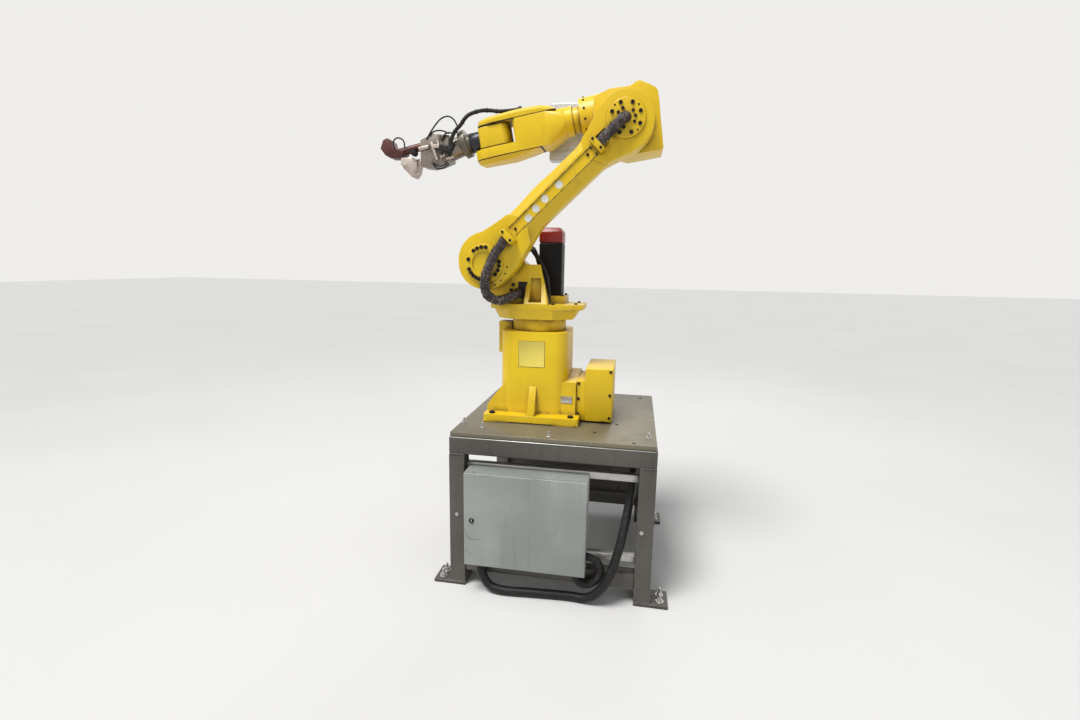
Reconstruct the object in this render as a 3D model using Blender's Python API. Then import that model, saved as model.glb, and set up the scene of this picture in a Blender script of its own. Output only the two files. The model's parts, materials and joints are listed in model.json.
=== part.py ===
"""Six-axis industrial robot arm on its steel stand, as separate named solids.

Metres, +Z up. The J1 axis stands at X = 0, Y = 0 and the floor is Z = 0.
X runs right along the stand's front edge and Y runs back, away from the front.
The arm is stored in the pose of the photo.
"""
from __future__ import annotations

import math
from dataclasses import dataclass

import bmesh
import bpy
from mathutils import Matrix, Vector

GAP = 0.0003

# Colours of the pieces
YELLOW = (0.86, 0.60, 0.02, 1.0)
STEEL = (0.20, 0.19, 0.18, 1.0)
PLATE = (0.30, 0.28, 0.25, 1.0)
PALE = (0.62, 0.66, 0.68, 1.0)
BLACK = (0.02, 0.02, 0.022, 1.0)
RED = (0.45, 0.03, 0.03, 1.0)
ZINC = (0.55, 0.55, 0.54, 1.0)
DARK_METAL = (0.09, 0.09, 0.10, 1.0)
BARE_METAL = (0.48, 0.43, 0.38, 1.0)
SLEEVE = (0.06, 0.055, 0.055, 1.0)


@dataclass(frozen=True)
class Stand:
    """Sizes of the welded stand."""

    x0: float = -0.2916
    x1: float = 0.5224
    y0: float = -0.3761
    y1: float = 0.4379
    top: float = 0.656
    plate: float = 0.019
    plate_inset: float = 0.004
    apron: float = 0.0699
    tube: float = 0.0635
    rail: float = 0.050
    rail_inset: float = 0.004
    rail_z0: float = 0.066
    rail_z1: float = 0.130
    foot_out: float = 0.070
    foot_front: float = 0.003
    foot_back: float = 0.040
    foot_thick: float = 0.0127


@dataclass(frozen=True)
class Enclosure:
    """Sizes of the sheet metal enclosure and its door."""

    x0: float = -0.2110
    x1: float = 0.2700
    z0: float = 0.1320
    z1: float = 0.5170
    front: float = -0.4240
    back: float = -0.3450
    wall: float = 0.002
    door: float = 0.016
    lip: float = 0.015
    strut: float = 0.029


@dataclass(frozen=True)
class Base:
    """Sizes of the fixed base casting, drawn for a stand top at DRAWN_TOP."""

    half: float = 0.2018
    flange: float = 0.028
    x0: float = -0.145
    x1: float = 0.141
    deep: float = 0.143
    corner: float = 0.058
    top: float = 1.036
    ring: float = 0.117
    ring_top: float = 1.0875
    bulge: float = 0.1825
    bracket: float = 0.118


@dataclass(frozen=True)
class Arm:
    """Joint centres and lengths of the arm in the photo's pose."""

    j2: tuple = (-0.2008, 1.3148)
    link: float = 0.7695
    lean: float = 45.25
    fore: float = 0.5356
    rise: float = 0.0766
    droop: float = 10.2
    face: float = -0.180
    inner: float = -0.0885
    disc: float = 0.0090
    sleeve: float = 0.0205
    throat: float = 0.2076


DRAWN_TOP = 0.656
S = Stand()
E = Enclosure()
B = Base()
A = Arm()
LEAN = math.radians(A.lean)
DROOP = math.radians(A.droop)
J3 = (A.j2[0] + A.link * math.sin(LEAN), A.j2[1] + A.link * math.cos(LEAN))
J5 = (
    J3[0] - A.fore * math.cos(DROOP) - A.rise * math.sin(DROOP),
    J3[1] - A.fore * math.sin(DROOP) + A.rise * math.cos(DROOP),
)
NECK = A.fore - A.throat
DISC_FRONT = A.face - GAP - A.disc
SLEEVE_Y = DISC_FRONT - A.sleeve - 0.0045


def wipe() -> None:
    """Remove every object of the opened scene."""
    for obj in list(bpy.data.objects):
        bpy.data.objects.remove(obj, do_unlink=True)


def material(name: str, colour: tuple, metallic: float, rough: float):
    """Make one Principled material.

    Args:
        name: name of the material.
        colour: base colour with alpha.
        metallic: metallic value.
        rough: roughness value.

    Returns:
        The new material.
    """
    mat = bpy.data.materials.new(name)
    mat.use_nodes = True
    shader = mat.node_tree.nodes["Principled BSDF"]
    shader.inputs["Base Color"].default_value = colour
    shader.inputs["Metallic"].default_value = metallic
    shader.inputs["Roughness"].default_value = rough
    mat.diffuse_color = colour
    return mat


def link(name: str, mesh) -> bpy.types.Object:
    """Put a mesh in the scene as an object.

    Args:
        name: object name.
        mesh: mesh data.

    Returns:
        The linked object.
    """
    obj = bpy.data.objects.new(name, mesh)
    bpy.context.scene.collection.objects.link(obj)
    return obj


def from_bmesh(bm) -> bpy.types.Object:
    """Turn a bmesh into a scratch object with outward faces.

    Args:
        bm: bmesh with one closed body.

    Returns:
        The scratch object.
    """
    bmesh.ops.recalc_face_normals(bm, faces=bm.faces)
    mesh = bpy.data.meshes.new("scratch")
    bm.to_mesh(mesh)
    bm.free()
    return link("scratch", mesh)


def box(x0, x1, y0, y1, z0, z1, bevel: float = 0.0) -> bpy.types.Object:
    """Make an upright box between two corners, with all edges bevelled if asked."""
    bm = bmesh.new()
    bmesh.ops.create_cube(bm, size=1.0)
    for vert in bm.verts:
        vert.co.x = x0 if vert.co.x < 0 else x1
        vert.co.y = y0 if vert.co.y < 0 else y1
        vert.co.z = z0 if vert.co.z < 0 else z1
    if bevel > 0.0:
        bmesh.ops.bevel(
            bm, geom=bm.edges[:], offset=bevel, segments=1, affect="EDGES", profile=0.5
        )
    return from_bmesh(bm)


def frustum(start, end, radius0: float, radius1: float, sides: int = 32) -> bpy.types.Object:
    """Make a round bar or cone between two points."""
    a = Vector(start)
    b = Vector(end)
    axis = b - a
    bm = bmesh.new()
    bmesh.ops.create_cone(
        bm,
        cap_ends=True,
        segments=sides,
        radius1=radius0,
        radius2=radius1,
        depth=axis.length,
    )
    turn = axis.to_track_quat("Z", "Y").to_matrix().to_4x4()
    bmesh.ops.transform(bm, matrix=Matrix.Translation((a + b) / 2) @ turn, verts=bm.verts)
    return from_bmesh(bm)


def prism(points, y0: float, y1: float) -> bpy.types.Object:
    """Extrude an outline of (x, z) points along Y."""
    bm = bmesh.new()
    front = [bm.verts.new((x, y0, z)) for x, z in points]
    back = [bm.verts.new((x, y1, z)) for x, z in points]
    bm.faces.new(front)
    bm.faces.new(list(reversed(back)))
    count = len(points)
    for i in range(count):
        j = (i + 1) % count
        bm.faces.new((front[j], front[i], back[i], back[j]))
    return from_bmesh(bm)


def plan(points, z0: float, z1: float) -> bpy.types.Object:
    """Extrude an outline of (x, y) points along Z."""
    bm = bmesh.new()
    low = [bm.verts.new((x, y, z0)) for x, y in points]
    high = [bm.verts.new((x, y, z1)) for x, y in points]
    bm.faces.new(list(reversed(low)))
    bm.faces.new(high)
    count = len(points)
    for i in range(count):
        j = (i + 1) % count
        bm.faces.new((low[i], low[j], high[j], high[i]))
    return from_bmesh(bm)


def hull(points) -> bpy.types.Object:
    """Make the convex body round a cloud of points."""
    bm = bmesh.new()
    for point in points:
        bm.verts.new(point)
    result = bmesh.ops.convex_hull(bm, input=bm.verts[:])
    loose = [g for g in result["geom_interior"] if isinstance(g, bmesh.types.BMVert)]
    bmesh.ops.delete(bm, geom=loose, context="VERTS")
    bmesh.ops.dissolve_limit(
        bm, angle_limit=math.radians(0.5), verts=bm.verts[:], edges=bm.edges[:]
    )
    return from_bmesh(bm)


def rounded(x0, x1, y0, y1, radius: float, steps: int = 6) -> list:
    """Return the outline of a rectangle with round corners."""
    points = []
    corners = (
        (x1 - radius, y1 - radius, 0.0),
        (x0 + radius, y1 - radius, 90.0),
        (x0 + radius, y0 + radius, 180.0),
        (x1 - radius, y0 + radius, 270.0),
    )
    for cx, cy, start in corners:
        for i in range(steps + 1):
            angle = math.radians(start + 90.0 * i / steps)
            points.append((cx + radius * math.cos(angle), cy + radius * math.sin(angle)))
    return points


def merge(first, others, operation: str = "UNION"):
    """Bake exact Booleans of scratch solids into the first one.

    Args:
        first: object that keeps the result.
        others: scratch objects joined or cut.
        operation: UNION or DIFFERENCE.

    Returns:
        The first object with its new mesh.
    """
    for other in others:
        modifier = first.modifiers.new("join", "BOOLEAN")
        modifier.operation = operation
        modifier.solver = "EXACT"
        modifier.object = other
        graph = bpy.context.evaluated_depsgraph_get()
        graph.update()
        baked = bpy.data.meshes.new_from_object(first.evaluated_get(graph))
        first.modifiers.clear()
        old = first.data
        first.data = baked
        bpy.data.meshes.remove(old)
        bpy.data.objects.remove(other, do_unlink=True)
    return first


def node(name: str, mat, first, joined=(), cuts=()):
    """Finish one named piece.

    Args:
        name: node name.
        mat: its material.
        first: scratch solid that becomes the node.
        joined: solids welded to it.
        cuts: solids taken away from it.

    Returns:
        The finished object.
    """
    merge(first, joined)
    merge(first, cuts, "DIFFERENCE")
    bm = bmesh.new()
    bm.from_mesh(first.data)
    bmesh.ops.remove_doubles(bm, verts=bm.verts, dist=0.00002)
    bmesh.ops.dissolve_limit(
        bm, angle_limit=math.radians(0.2), verts=bm.verts[:], edges=bm.edges[:]
    )
    bmesh.ops.recalc_face_normals(bm, faces=bm.faces)
    bm.to_mesh(first.data)
    bm.free()
    first.name = name
    first.data.name = name
    first.data.materials.clear()
    first.data.materials.append(mat)
    return first


def smooth_line(points, steps: int = 6) -> list:
    """Run a smooth line through a few points."""
    pts = [Vector(p) for p in points]
    pts = [2 * pts[0] - pts[1]] + pts + [2 * pts[-1] - pts[-2]]
    line = []
    for i in range(1, len(pts) - 2):
        a, b, c, d = pts[i - 1], pts[i], pts[i + 1], pts[i + 2]
        for k in range(steps):
            t = k / steps
            line.append(
                0.5
                * (
                    2 * b
                    + (c - a) * t
                    + (2 * a - 5 * b + 4 * c - d) * t * t
                    + (3 * b - a - 3 * c + d) * t * t * t
                )
            )
    line.append(pts[-2])
    return line


def hose(name: str, mat, points, radius: float, steps: int = 6):
    """Make a round hose along a smooth line as a filled curve."""
    line = smooth_line(points, steps)
    curve = bpy.data.curves.new(name, "CURVE")
    curve.dimensions = "3D"
    curve.bevel_depth = radius
    curve.bevel_resolution = 3
    curve.use_fill_caps = True
    spline = curve.splines.new("POLY")
    spline.points.add(len(line) - 1)
    for point, co in zip(spline.points, line):
        point.co = (co.x, co.y, co.z, 1.0)
    curve.materials.append(mat)
    obj = bpy.data.objects.new(name, curve)
    bpy.context.scene.collection.objects.link(obj)
    return obj


def arc(radius0: float, radius1: float, start: float, end: float, steps: int) -> list:
    """Return points of an arc about (0, 0), angles in degrees from the first axis.

    Args:
        radius0: radius at the start.
        radius1: radius at the end.
        start: angle of the first point.
        end: angle of the last point.
        steps: number of spans.
    """
    points = []
    for i in range(steps + 1):
        share = i / steps
        angle = math.radians(start + (end - start) * share)
        radius = radius0 + (radius1 - radius0) * share
        points.append((radius * math.cos(angle), radius * math.sin(angle)))
    return points


def on_link(along: float, across: float) -> tuple:
    """Return the (x, z) place of a point on the lower arm.

    Args:
        along: distance from the J2 axis towards the J3 axis.
        across: distance to the upper left of the link's line.
    """
    x = A.j2[0] + along * math.sin(LEAN) - across * math.cos(LEAN)
    z = A.j2[1] + along * math.cos(LEAN) + across * math.sin(LEAN)
    return (x, z)


def on_fore(back: float, up: float) -> tuple:
    """Return the (x, z) place of a point on the forearm.

    Args:
        back: distance behind the J5 axis, towards the elbow.
        up: distance above the J4 axis.
    """
    x = J5[0] + back * math.cos(DROOP) - up * math.sin(DROOP)
    z = J5[1] + back * math.sin(DROOP) + up * math.cos(DROOP)
    return (x, z)


def fore3(back: float, up: float, side: float) -> tuple:
    """Return a point in space given in the forearm's own directions."""
    x, z = on_fore(back, up)
    return (x, side, z)


def by_elbow(right: float, up: float) -> tuple:
    """Return the (x, z) place of a point given from the J3 axis."""
    return (J3[0] + right, J3[1] + up)


def by_wrist(right: float, up: float) -> tuple:
    """Return the (x, z) place of a point given from the J5 axis."""
    return (J5[0] + right, J5[1] + up)


def build_stand(steel, plate, zinc) -> None:
    """Build the welded stand."""
    under = S.top - S.plate
    low = under - S.apron
    inset = S.plate_inset
    node(
        "stand_top_plate",
        plate,
        box(S.x0 + inset, S.x1 - inset, S.y0 + inset, S.y1 - inset, under, S.top),
    )
    ring = box(S.x0, S.x1, S.y0, S.y1, low, under - GAP)
    hole = box(
        S.x0 + S.tube, S.x1 - S.tube, S.y0 + S.tube, S.y1 - S.tube, low - 0.01, under + 0.01
    )
    node("stand_apron_frame", steel, ring, cuts=[hole])
    legs = (
        ("front_left", S.x0, S.y0, -1, -1),
        ("front_right", S.x1 - S.tube, S.y0, 1, -1),
        ("back_left", S.x0, S.y1 - S.tube, -1, 1),
        ("back_right", S.x1 - S.tube, S.y1 - S.tube, 1, 1),
    )
    for name, x, y, side, depth in legs:
        tube = box(x, x + S.tube, y, y + S.tube, S.foot_thick / 2, low - GAP)
        fx0 = x - (S.foot_out if side < 0 else 0.0)
        fx1 = x + S.tube + (S.foot_out if side > 0 else 0.0)
        fy0 = y - (S.foot_front if depth < 0 else S.foot_back)
        fy1 = y + S.tube + (S.foot_back if depth < 0 else S.foot_front)
        foot = box(fx0, fx1, fy0, fy1, 0.0, S.foot_thick)
        node("stand_leg_" + name, steel, foot, joined=[tube])
    inx0 = S.x0 + S.tube + GAP
    inx1 = S.x1 - S.tube - GAP
    iny0 = S.y0 + S.tube + GAP
    iny1 = S.y1 - S.tube - GAP
    near = S.rail_inset
    far = S.rail_inset + S.rail
    z0, z1 = S.rail_z0, S.rail_z1
    rails = (
        ("front", inx0, inx1, S.y0 + near, S.y0 + far),
        ("back", inx0, inx1, S.y1 - far, S.y1 - near),
        ("left", S.x0 + near, S.x0 + far, iny0, iny1),
        ("right", S.x1 - far, S.x1 - near, iny0, iny1),
    )
    for name, x0, x1, y0, y1 in rails:
        node("stand_lower_rail_" + name, steel, box(x0, x1, y0, y1, z0, z1))
    sheet = S.y1 - S.tube / 2
    node("stand_back_panel", steel, box(inx0, inx1, sheet, sheet + 0.003, z1 + GAP, low - GAP))
    y0 = E.back + GAP
    y1 = y0 + E.strut
    for name, low_z in (("upper", E.z1 - 0.019), ("lower", E.z0 + 0.031)):
        strut = box(inx0, inx1, y0, y1, low_z, low_z + E.strut)
        node("enclosure_strut_" + name, zinc, strut)


def build_enclosure(pale, sleeve) -> None:
    """Build the hollow enclosure, its door and its hoses."""
    shell = box(E.x0, E.x1, E.front, E.back, E.z0, E.z1)
    hollow = box(
        E.x0 + E.wall, E.x1 - E.wall, E.front - 0.02, E.back - E.wall, E.z0 + E.wall, E.z1 - E.wall
    )
    node("enclosure_body", pale, shell, cuts=[hollow])
    shut = E.front - GAP
    door = box(E.x0, E.x1, shut - E.door, shut, E.z0, E.z1, 0.002)
    pan = box(
        E.x0 + E.lip,
        E.x1 - E.lip,
        shut - E.door + 0.003,
        E.front + 0.01,
        E.z0 + E.lip,
        E.z1 - E.lip,
    )
    node("enclosure_door", pale, door, cuts=[pan])
    low = 0.0185
    under = S.top - S.plate
    entry = E.x0 + 0.061
    riser = S.x1 - 0.0864
    hose(
        "enclosure_floor_hose",
        sleeve,
        [
            (entry, -0.396, E.z0 - 0.0008),
            (entry, -0.396, E.z0 - 0.016),
            (entry + 0.002, -0.398, 0.080),
            (-0.120, -0.402, 0.034),
            (-0.060, -0.408, low),
            (0.060, -0.400, low),
            (0.200, -0.392, low),
            (0.285, -0.402, 0.028),
            (0.340, -0.416, 0.090),
            (0.372, -0.408, 0.160),
            (0.400, -0.376, 0.260),
            (0.425, -0.310, 0.390),
            (riser - 0.002, -0.280, 0.480),
            (riser, -0.275, under - 0.037),
            (riser, -0.275, under - 0.0008),
        ],
        0.0175,
        5,
    )
    side = E.x1 + 0.0008
    hose(
        "enclosure_side_hose",
        sleeve,
        [
            (side, -0.400, 0.200),
            (side + 0.012, -0.400, 0.199),
            (0.315, -0.400, 0.185),
            (0.328, -0.400, 0.145),
            (0.310, -0.400, 0.105),
            (0.275, -0.400, 0.082),
            (0.243, -0.400, 0.090),
            (0.232, -0.400, E.z0 - 0.020),
            (0.232, -0.400, E.z0 - 0.0016),
        ],
        0.0150,
        4,
    )


def build_base(yellow) -> None:
    """Build the fixed base casting, its connector box and the J1 ring."""
    half = B.half
    z = DRAWN_TOP + GAP
    flange = plan(rounded(-half, half, -half, half, 0.012, 2), z + 0.004, z + 0.004 + B.flange)
    pad = 0.11
    pads = []
    for sx in (-1, 1):
        for sy in (-1, 1):
            x0, x1 = sorted((sx * half, sx * (half - pad)))
            y0, y1 = sorted((sy * half, sy * (half - pad)))
            pads.append(box(x0, x1, y0, y1, z, z + 0.006))
    column = plan(rounded(B.x0, B.x1, -B.deep, B.deep, B.corner, 7), z + 0.02, B.top)
    web = B.deep - 0.008
    gusset = prism(
        [
            (-0.100, 0.832),
            (-0.136, 0.7985),
            (-0.180, 0.7416),
            (-half + 0.0008, 0.7108),
            (-half + 0.0008, 0.670),
            (-0.100, 0.670),
        ],
        -web,
        web,
    )
    rib = hull(
        [
            (x, y, height)
            for x in (-0.014, 0.016)
            for y, height in (
                (-B.deep + 0.013, 0.805),
                (-B.deep - 0.0005, 0.805),
                (-half + 0.0068, 0.690),
                (-half + 0.0068, 0.670),
                (-B.deep + 0.013, 0.670),
            )
        ]
    )
    cheek = B.deep - 0.015
    bulge = hull(
        [
            (x, y, height)
            for x in (0.105, B.bulge)
            for y, height in ((-cheek, 0.670), (-cheek, 0.828), (cheek, 0.670), (cheek, 0.842))
        ]
    )
    lug = box(B.x0 - 0.029, -0.116, -0.035, 0.035, B.top - 0.106, B.top + 0.030)
    notch = frustum((0, 0, B.top - 0.004), (0, 0, B.top + 0.05), 0.1225, 0.1225, 48)
    merge(lug, [notch], "DIFFERENCE")
    seat = B.bracket + 0.0006
    node(
        "robot_base_casting",
        yellow,
        flange,
        joined=pads + [column, gusset, rib, bulge, lug],
        cuts=[box(B.bulge + 0.0005, 0.30, -seat, seat, 0.64, 0.86)],
    )
    bracket = box(B.bulge + 0.0008, 0.230, -B.bracket, B.bracket, 0.664, 0.834)
    shell = box(0.2214, 0.3370, -0.125, 0.125, 0.663, 0.8914, 0.003)
    node("connector_box", yellow, shell, joined=[bracket])
    node(
        "j1_bearing_ring",
        yellow,
        frustum((0, 0, B.top + GAP), (0, 0, B.ring_top), B.ring, B.ring, 48),
    )


def build_turret(yellow, black, red) -> None:
    """Build the turning turret with the J1 and J2 motors."""
    rim = B.ring_top + GAP
    deck_top = 1.150
    front = 0.130
    skirt = hull(
        [
            (x, y * side, z)
            for side in (-1, 1)
            for x, y, z in (
                (-0.163, 0.075, rim),
                (-0.099, front - 0.0005, rim),
                (0.0795, front - 0.0005, rim),
                (0.154, 0.075, rim),
                (-0.188, 0.072, 1.132),
                (-0.120, front - 0.0005, 1.132),
                (0.070, front - 0.0005, 1.132),
                (0.180, 0.072, 1.132),
            )
        ]
    )
    deck = plan(
        [
            (-0.200, -0.080),
            (-0.150, -front),
            (0.080, -front),
            (0.197, -0.075),
            (0.197, 0.095),
            (0.100, front),
            (-0.150, front),
            (-0.200, 0.080),
        ],
        1.128,
        deck_top,
    )
    x, z = A.j2
    cheek = prism(
        [
            (-0.175, 1.130),
            (x - 0.061, z - 0.080),
            (x - 0.084, z - 0.015),
            (x - 0.064, z + 0.060),
            (x, z + 0.085),
            (x + 0.081, z + 0.065),
            (-0.042, z - 0.001),
            (0.0134, z - 0.001),
            (0.0544, deck_top),
            (0.0560, 1.130),
        ],
        A.inner + 0.0065,
        -0.0140,
    )
    foot = hull(
        [
            (-0.0439, A.inner + 0.010, 1.240),
            (0.0319, A.inner + 0.010, 1.240),
            (-0.0457, 0.001 - front, deck_top + 0.002),
            (0.0544, 0.001 - front, deck_top + 0.002),
            (-0.0457, 0.001 - front, 1.136),
            (0.0544, 0.001 - front, 1.136),
            (-0.0457, -0.050, 1.136),
            (0.0544, -0.050, 1.136),
            (-0.0439, -0.050, 1.240),
            (0.0319, -0.050, 1.240),
        ]
    )
    pocket = prism(
        [(-0.0282, 1.158), (0.0279, 1.158), (0.0161, 1.258), (-0.0242, 1.258)], -0.200, -0.066
    )
    boss = frustum((x, -0.0300, z), (x, 0.0750, z), 0.098, 0.098, 40)
    hub = frustum((x, A.inner + GAP, z), (x, -0.0500, z), 0.080, 0.080, 40)
    web = prism(
        [(-0.175, 1.130), (-0.240, 1.250), (-0.160, 1.260), (-0.060, 1.152), (-0.040, 1.130)],
        -0.020,
        0.0745,
    )
    mx, my, half = 0.042, 0.052, 0.050
    seat = box(mx - 0.062, mx + 0.070, -0.020, my + 0.066, 1.140, 1.182)
    node(
        "turret_casting",
        yellow,
        deck,
        joined=[skirt, cheek, foot, boss, hub, web, seat],
        cuts=[pocket],
    )
    top = 1.408
    body = box(mx - half, mx + half, my - half, my + half, 1.182 + GAP, top, 0.005)
    node("j1_motor", black, body)
    cap = hull(
        [
            (mx + sx * w, my + sy * w, height)
            for sx in (-1, 1)
            for sy in (-1, 1)
            for w, height in ((half, top + GAP), (half, top + 0.044), (half - 0.012, top + 0.064))
        ]
    )
    node("j1_motor_cap", red, cap)
    half = 0.059
    end = 0.235
    body = box(x - half, x + half, 0.0750 + GAP, end, z - half, z + half, 0.006)
    node("j2_motor", black, body)
    cap = hull(
        [
            (x + sx * w, y, z + sz * w)
            for sx in (-1, 1)
            for sz in (-1, 1)
            for w, y in ((half, end + GAP), (half, end + 0.040), (half - 0.014, end + 0.060))
        ]
    )
    node("j2_motor_cap", red, cap)


def link_outline() -> list:
    """Return the lower arm's outline, round J2, up the lower right side and round J3."""
    low = arc(0.127, 0.109, 50, 135, 8)
    low += arc(0.109, 0.104, 135, 225, 9)[1:]
    low += arc(0.104, 0.1075, 225, 278, 5)[1:]
    low += [(0.049, -0.1067), (0.079, -0.104), (0.1135, -0.096), (0.143, -0.088), (0.172, -0.080)]
    low += [(0.209, -0.070), (0.243, -0.0616), (0.274, -0.0566)]
    high = [(-0.350, -0.060), (-0.1755, -0.064), (-0.130, -0.078), (-0.0995, -0.090)]
    high += [(-0.0735, -0.102), (-0.0375, -0.111)]
    high += arc(0.112, 0.104, -92, -40, 6)
    high += arc(0.104, 0.104, -40, 100, 13)[1:]
    high += [(-0.0648, 0.0925), (-0.0963, 0.0857), (-0.1368, 0.0721), (-0.1749, 0.0646)]
    high += [(-0.2062, 0.0600)]
    last = [(0.2744, 0.0688), (0.2165, 0.0690), (0.1705, 0.0770), (0.1209, 0.0874)]
    shank = A.link + high[-1][0] - last[0][0]
    waist = ((0.734857, 0.0630), (0.560402, 0.0655), (0.392177, 0.0705), (0.205607, 0.0716))
    outline = [on_link(along, across) for along, across in low]
    outline += [on_link(A.link + along, across) for along, across in high]
    outline += [on_link(last[0][0] + share * shank, across) for share, across in waist]
    outline += [on_link(along, across) for along, across in last]
    return outline


def bevel_cutter(inner: float, outer: float, deep: float) -> bpy.types.Object:
    """Make the body that bevels one long edge of the lower arm's face.

    Args:
        inner: across of the bevel's edge on the face.
        outer: across of a line outside the arm's edge.
        deep: how far behind the face the bevel is at that line.
    """
    points = []
    for along in (0.232, A.link - 0.190):
        x, z = on_link(along, inner)
        points.append((x, A.face, z))
        points.append((x, A.face - 0.02, z))
    for along in (0.186, A.link - 0.146):
        x, z = on_link(along, outer)
        points.append((x, A.face + deep, z))
        points.append((x, A.face - 0.02, z))
    return hull(points)


def build_lower_arm(yellow, sleeve) -> None:
    """Build the link between J2 and J3 with its clamps and sleeves."""
    beam = prism(link_outline(), A.face, A.inner)
    low = bevel_cutter(-0.0160, -0.085, 0.0485)
    high = bevel_cutter(0.0340, 0.095, 0.0348)
    clamps = (
        ("lower_hose_clamp", 0.150, 0.0115, 1),
        ("upper_hose_clamp", A.link - 0.1415, 0.0100, -1),
    )
    panel = prism(
        [
            on_link(0.170, -0.0125),
            on_link(A.link - 0.1600, -0.0205),
            on_link(A.link - 0.1600, 0.0230),
            on_link(0.170, 0.0300),
        ],
        A.face - 0.01,
        A.face + 0.004,
    )
    node("lower_arm_casting", yellow, beam, cuts=[low, high, panel])
    x, z = A.j2
    ring = frustum((x, DISC_FRONT, z), (x, A.face - GAP, z), 0.079, 0.079, 40)
    recess = frustum((x, -0.20, z), (x, A.face - 0.003, z), 0.048, 0.048, 40)
    node("j2_cover_disc", yellow, ring, cuts=[recess])
    x, z = J3
    disc = frustum((x, DISC_FRONT, z), (x, A.face - GAP, z), 0.0715, 0.074, 40)
    node("j3_cover_disc", yellow, disc)
    wide = 0.031
    across = 0.0015
    for name, along, half, closed in clamps:
        corners = [
            on_link(along - half, across - wide),
            on_link(along + half, across - wide),
            on_link(along + half, across + wide),
            on_link(along - half, across + wide),
        ]
        saddle = prism(corners, SLEEVE_Y - A.sleeve - 0.005, A.face - GAP)
        cx, cz = on_link(along + closed * (half - 0.003), across)
        ex, ez = on_link(along - closed * 0.05, across)
        bore = frustum((cx, SLEEVE_Y, cz), (ex, SLEEVE_Y, ez), A.sleeve + 0.0006, A.sleeve + 0.0006, 24)
        node(name, yellow, saddle, cuts=[bore])
    clamp = clamps[0][1]
    line = []
    for along in (clamp + 0.008, clamp, clamp - 0.0115, clamp - 0.016):
        px, pz = on_link(along, across)
        line.append((px, SLEEVE_Y, pz))
    line += [
        (-0.1264, SLEEVE_Y - 0.001, 1.3805),
        (-0.1427, SLEEVE_Y - 0.002, 1.3609),
        (-0.1550, SLEEVE_Y - 0.003, 1.3373),
        (-0.1694, SLEEVE_Y - 0.004, 1.3056),
        (-0.1839, SLEEVE_Y - 0.004, 1.2697),
        (-0.1885, -0.2140, 1.2378),
        (-0.1875, -0.2100, 1.2080),
        (-0.1760, -0.1960, 1.1830),
        (-0.1450, -0.1720, 1.1660),
        (-0.1080, -0.1500, 1.1760),
        (-0.0830, -0.1270, 1.1890),
        (-0.0770, -0.1060, 1.1950),
        (-0.0770, A.inner + 0.0050, 1.1950),
    ]
    hose("j2_sleeved_hose", sleeve, line, A.sleeve, 3)
    clamp = clamps[1][1]
    turn = A.sleeve + 0.0002
    line = []
    for along in (clamp - 0.007, clamp + 0.012, A.link - 0.060, A.link - turn - 0.002):
        px, pz = on_link(along, across)
        line.append((px, SLEEVE_Y, pz))
    for i in range(1, 6):
        angle = math.radians(90.0 * i / 5)
        px, pz = on_link(A.link - turn + turn * math.sin(angle), across)
        line.append((px, SLEEVE_Y + turn * (1 - math.cos(angle)), pz))
    line.append((line[-1][0], DISC_FRONT - 0.0010, line[-1][2]))
    hose("j3_sleeved_hose", sleeve, line, A.sleeve, 1)


def build_elbow(yellow, black, zinc) -> None:
    """Build the elbow with its cover, ring, motor and grey box."""
    front = A.inner + 0.0065
    back = 0.0900
    outline = (
        (-0.1307, -0.0415),
        (-0.1307, 0.1085),
        (-0.0837, 0.1285),
        (-0.0167, 0.1385),
        (0.0063, 0.1415),
        (0.0243, 0.1535),
        (0.0353, 0.1595),
        (0.0473, 0.1585),
        (0.0813, 0.1445),
        (0.1043, 0.1325),
        (0.1128, 0.1215),
        (0.1203, 0.0855),
        (0.1273, 0.0315),
        (0.1358, -0.0225),
        (0.1448, -0.0855),
        (0.1413, -0.0915),
        (0.0723, -0.1035),
        (0.0063, -0.1145),
        (-0.0757, -0.0915),
    )
    body = prism([by_elbow(right, up) for right, up in outline], front, back)
    neck = frustum(fore3(NECK + 0.0320, 0, 0), fore3(A.fore - 0.0656, 0, 0), 0.0785, 0.0800, 40)
    hub = frustum((J3[0], A.inner + GAP, J3[1]), (J3[0], -0.060, J3[1]), 0.085, 0.085, 40)
    node("elbow_casting", yellow, body, joined=[neck, hub])
    lid = ((-0.0817, 0.1292), (-0.0247, 0.1377), (-0.0247, 0.1465), (-0.0817, 0.1400))
    node(
        "elbow_top_cover",
        yellow,
        prism([by_elbow(right, up) for right, up in lid], -0.060, 0.080),
    )
    node(
        "j4_neck_ring",
        yellow,
        frustum(fore3(NECK + GAP, 0, 0), fore3(NECK + 0.0317, 0, 0), 0.0505, 0.0505, 40),
    )
    x, z = by_elbow(0.0393, 0.0055)
    half = 0.045
    behind = back + GAP
    node("j3_motor", black, box(x - half, x + half, behind, 0.235, z - half, z + half, 0.005))
    x0, z0 = by_elbow(-0.3357, -0.0915)
    x1 = x0 + 0.190
    node("elbow_side_box", zinc, box(x0, x1, 0.115, 0.185, z0, z0 + 0.235, 0.003))
    x2, z2 = by_elbow(-0.0157, 0.0235)
    node("elbow_box_bracket", zinc, box(x1 + GAP, x2, behind, 0.132, z2, z2 + 0.050))


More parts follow.
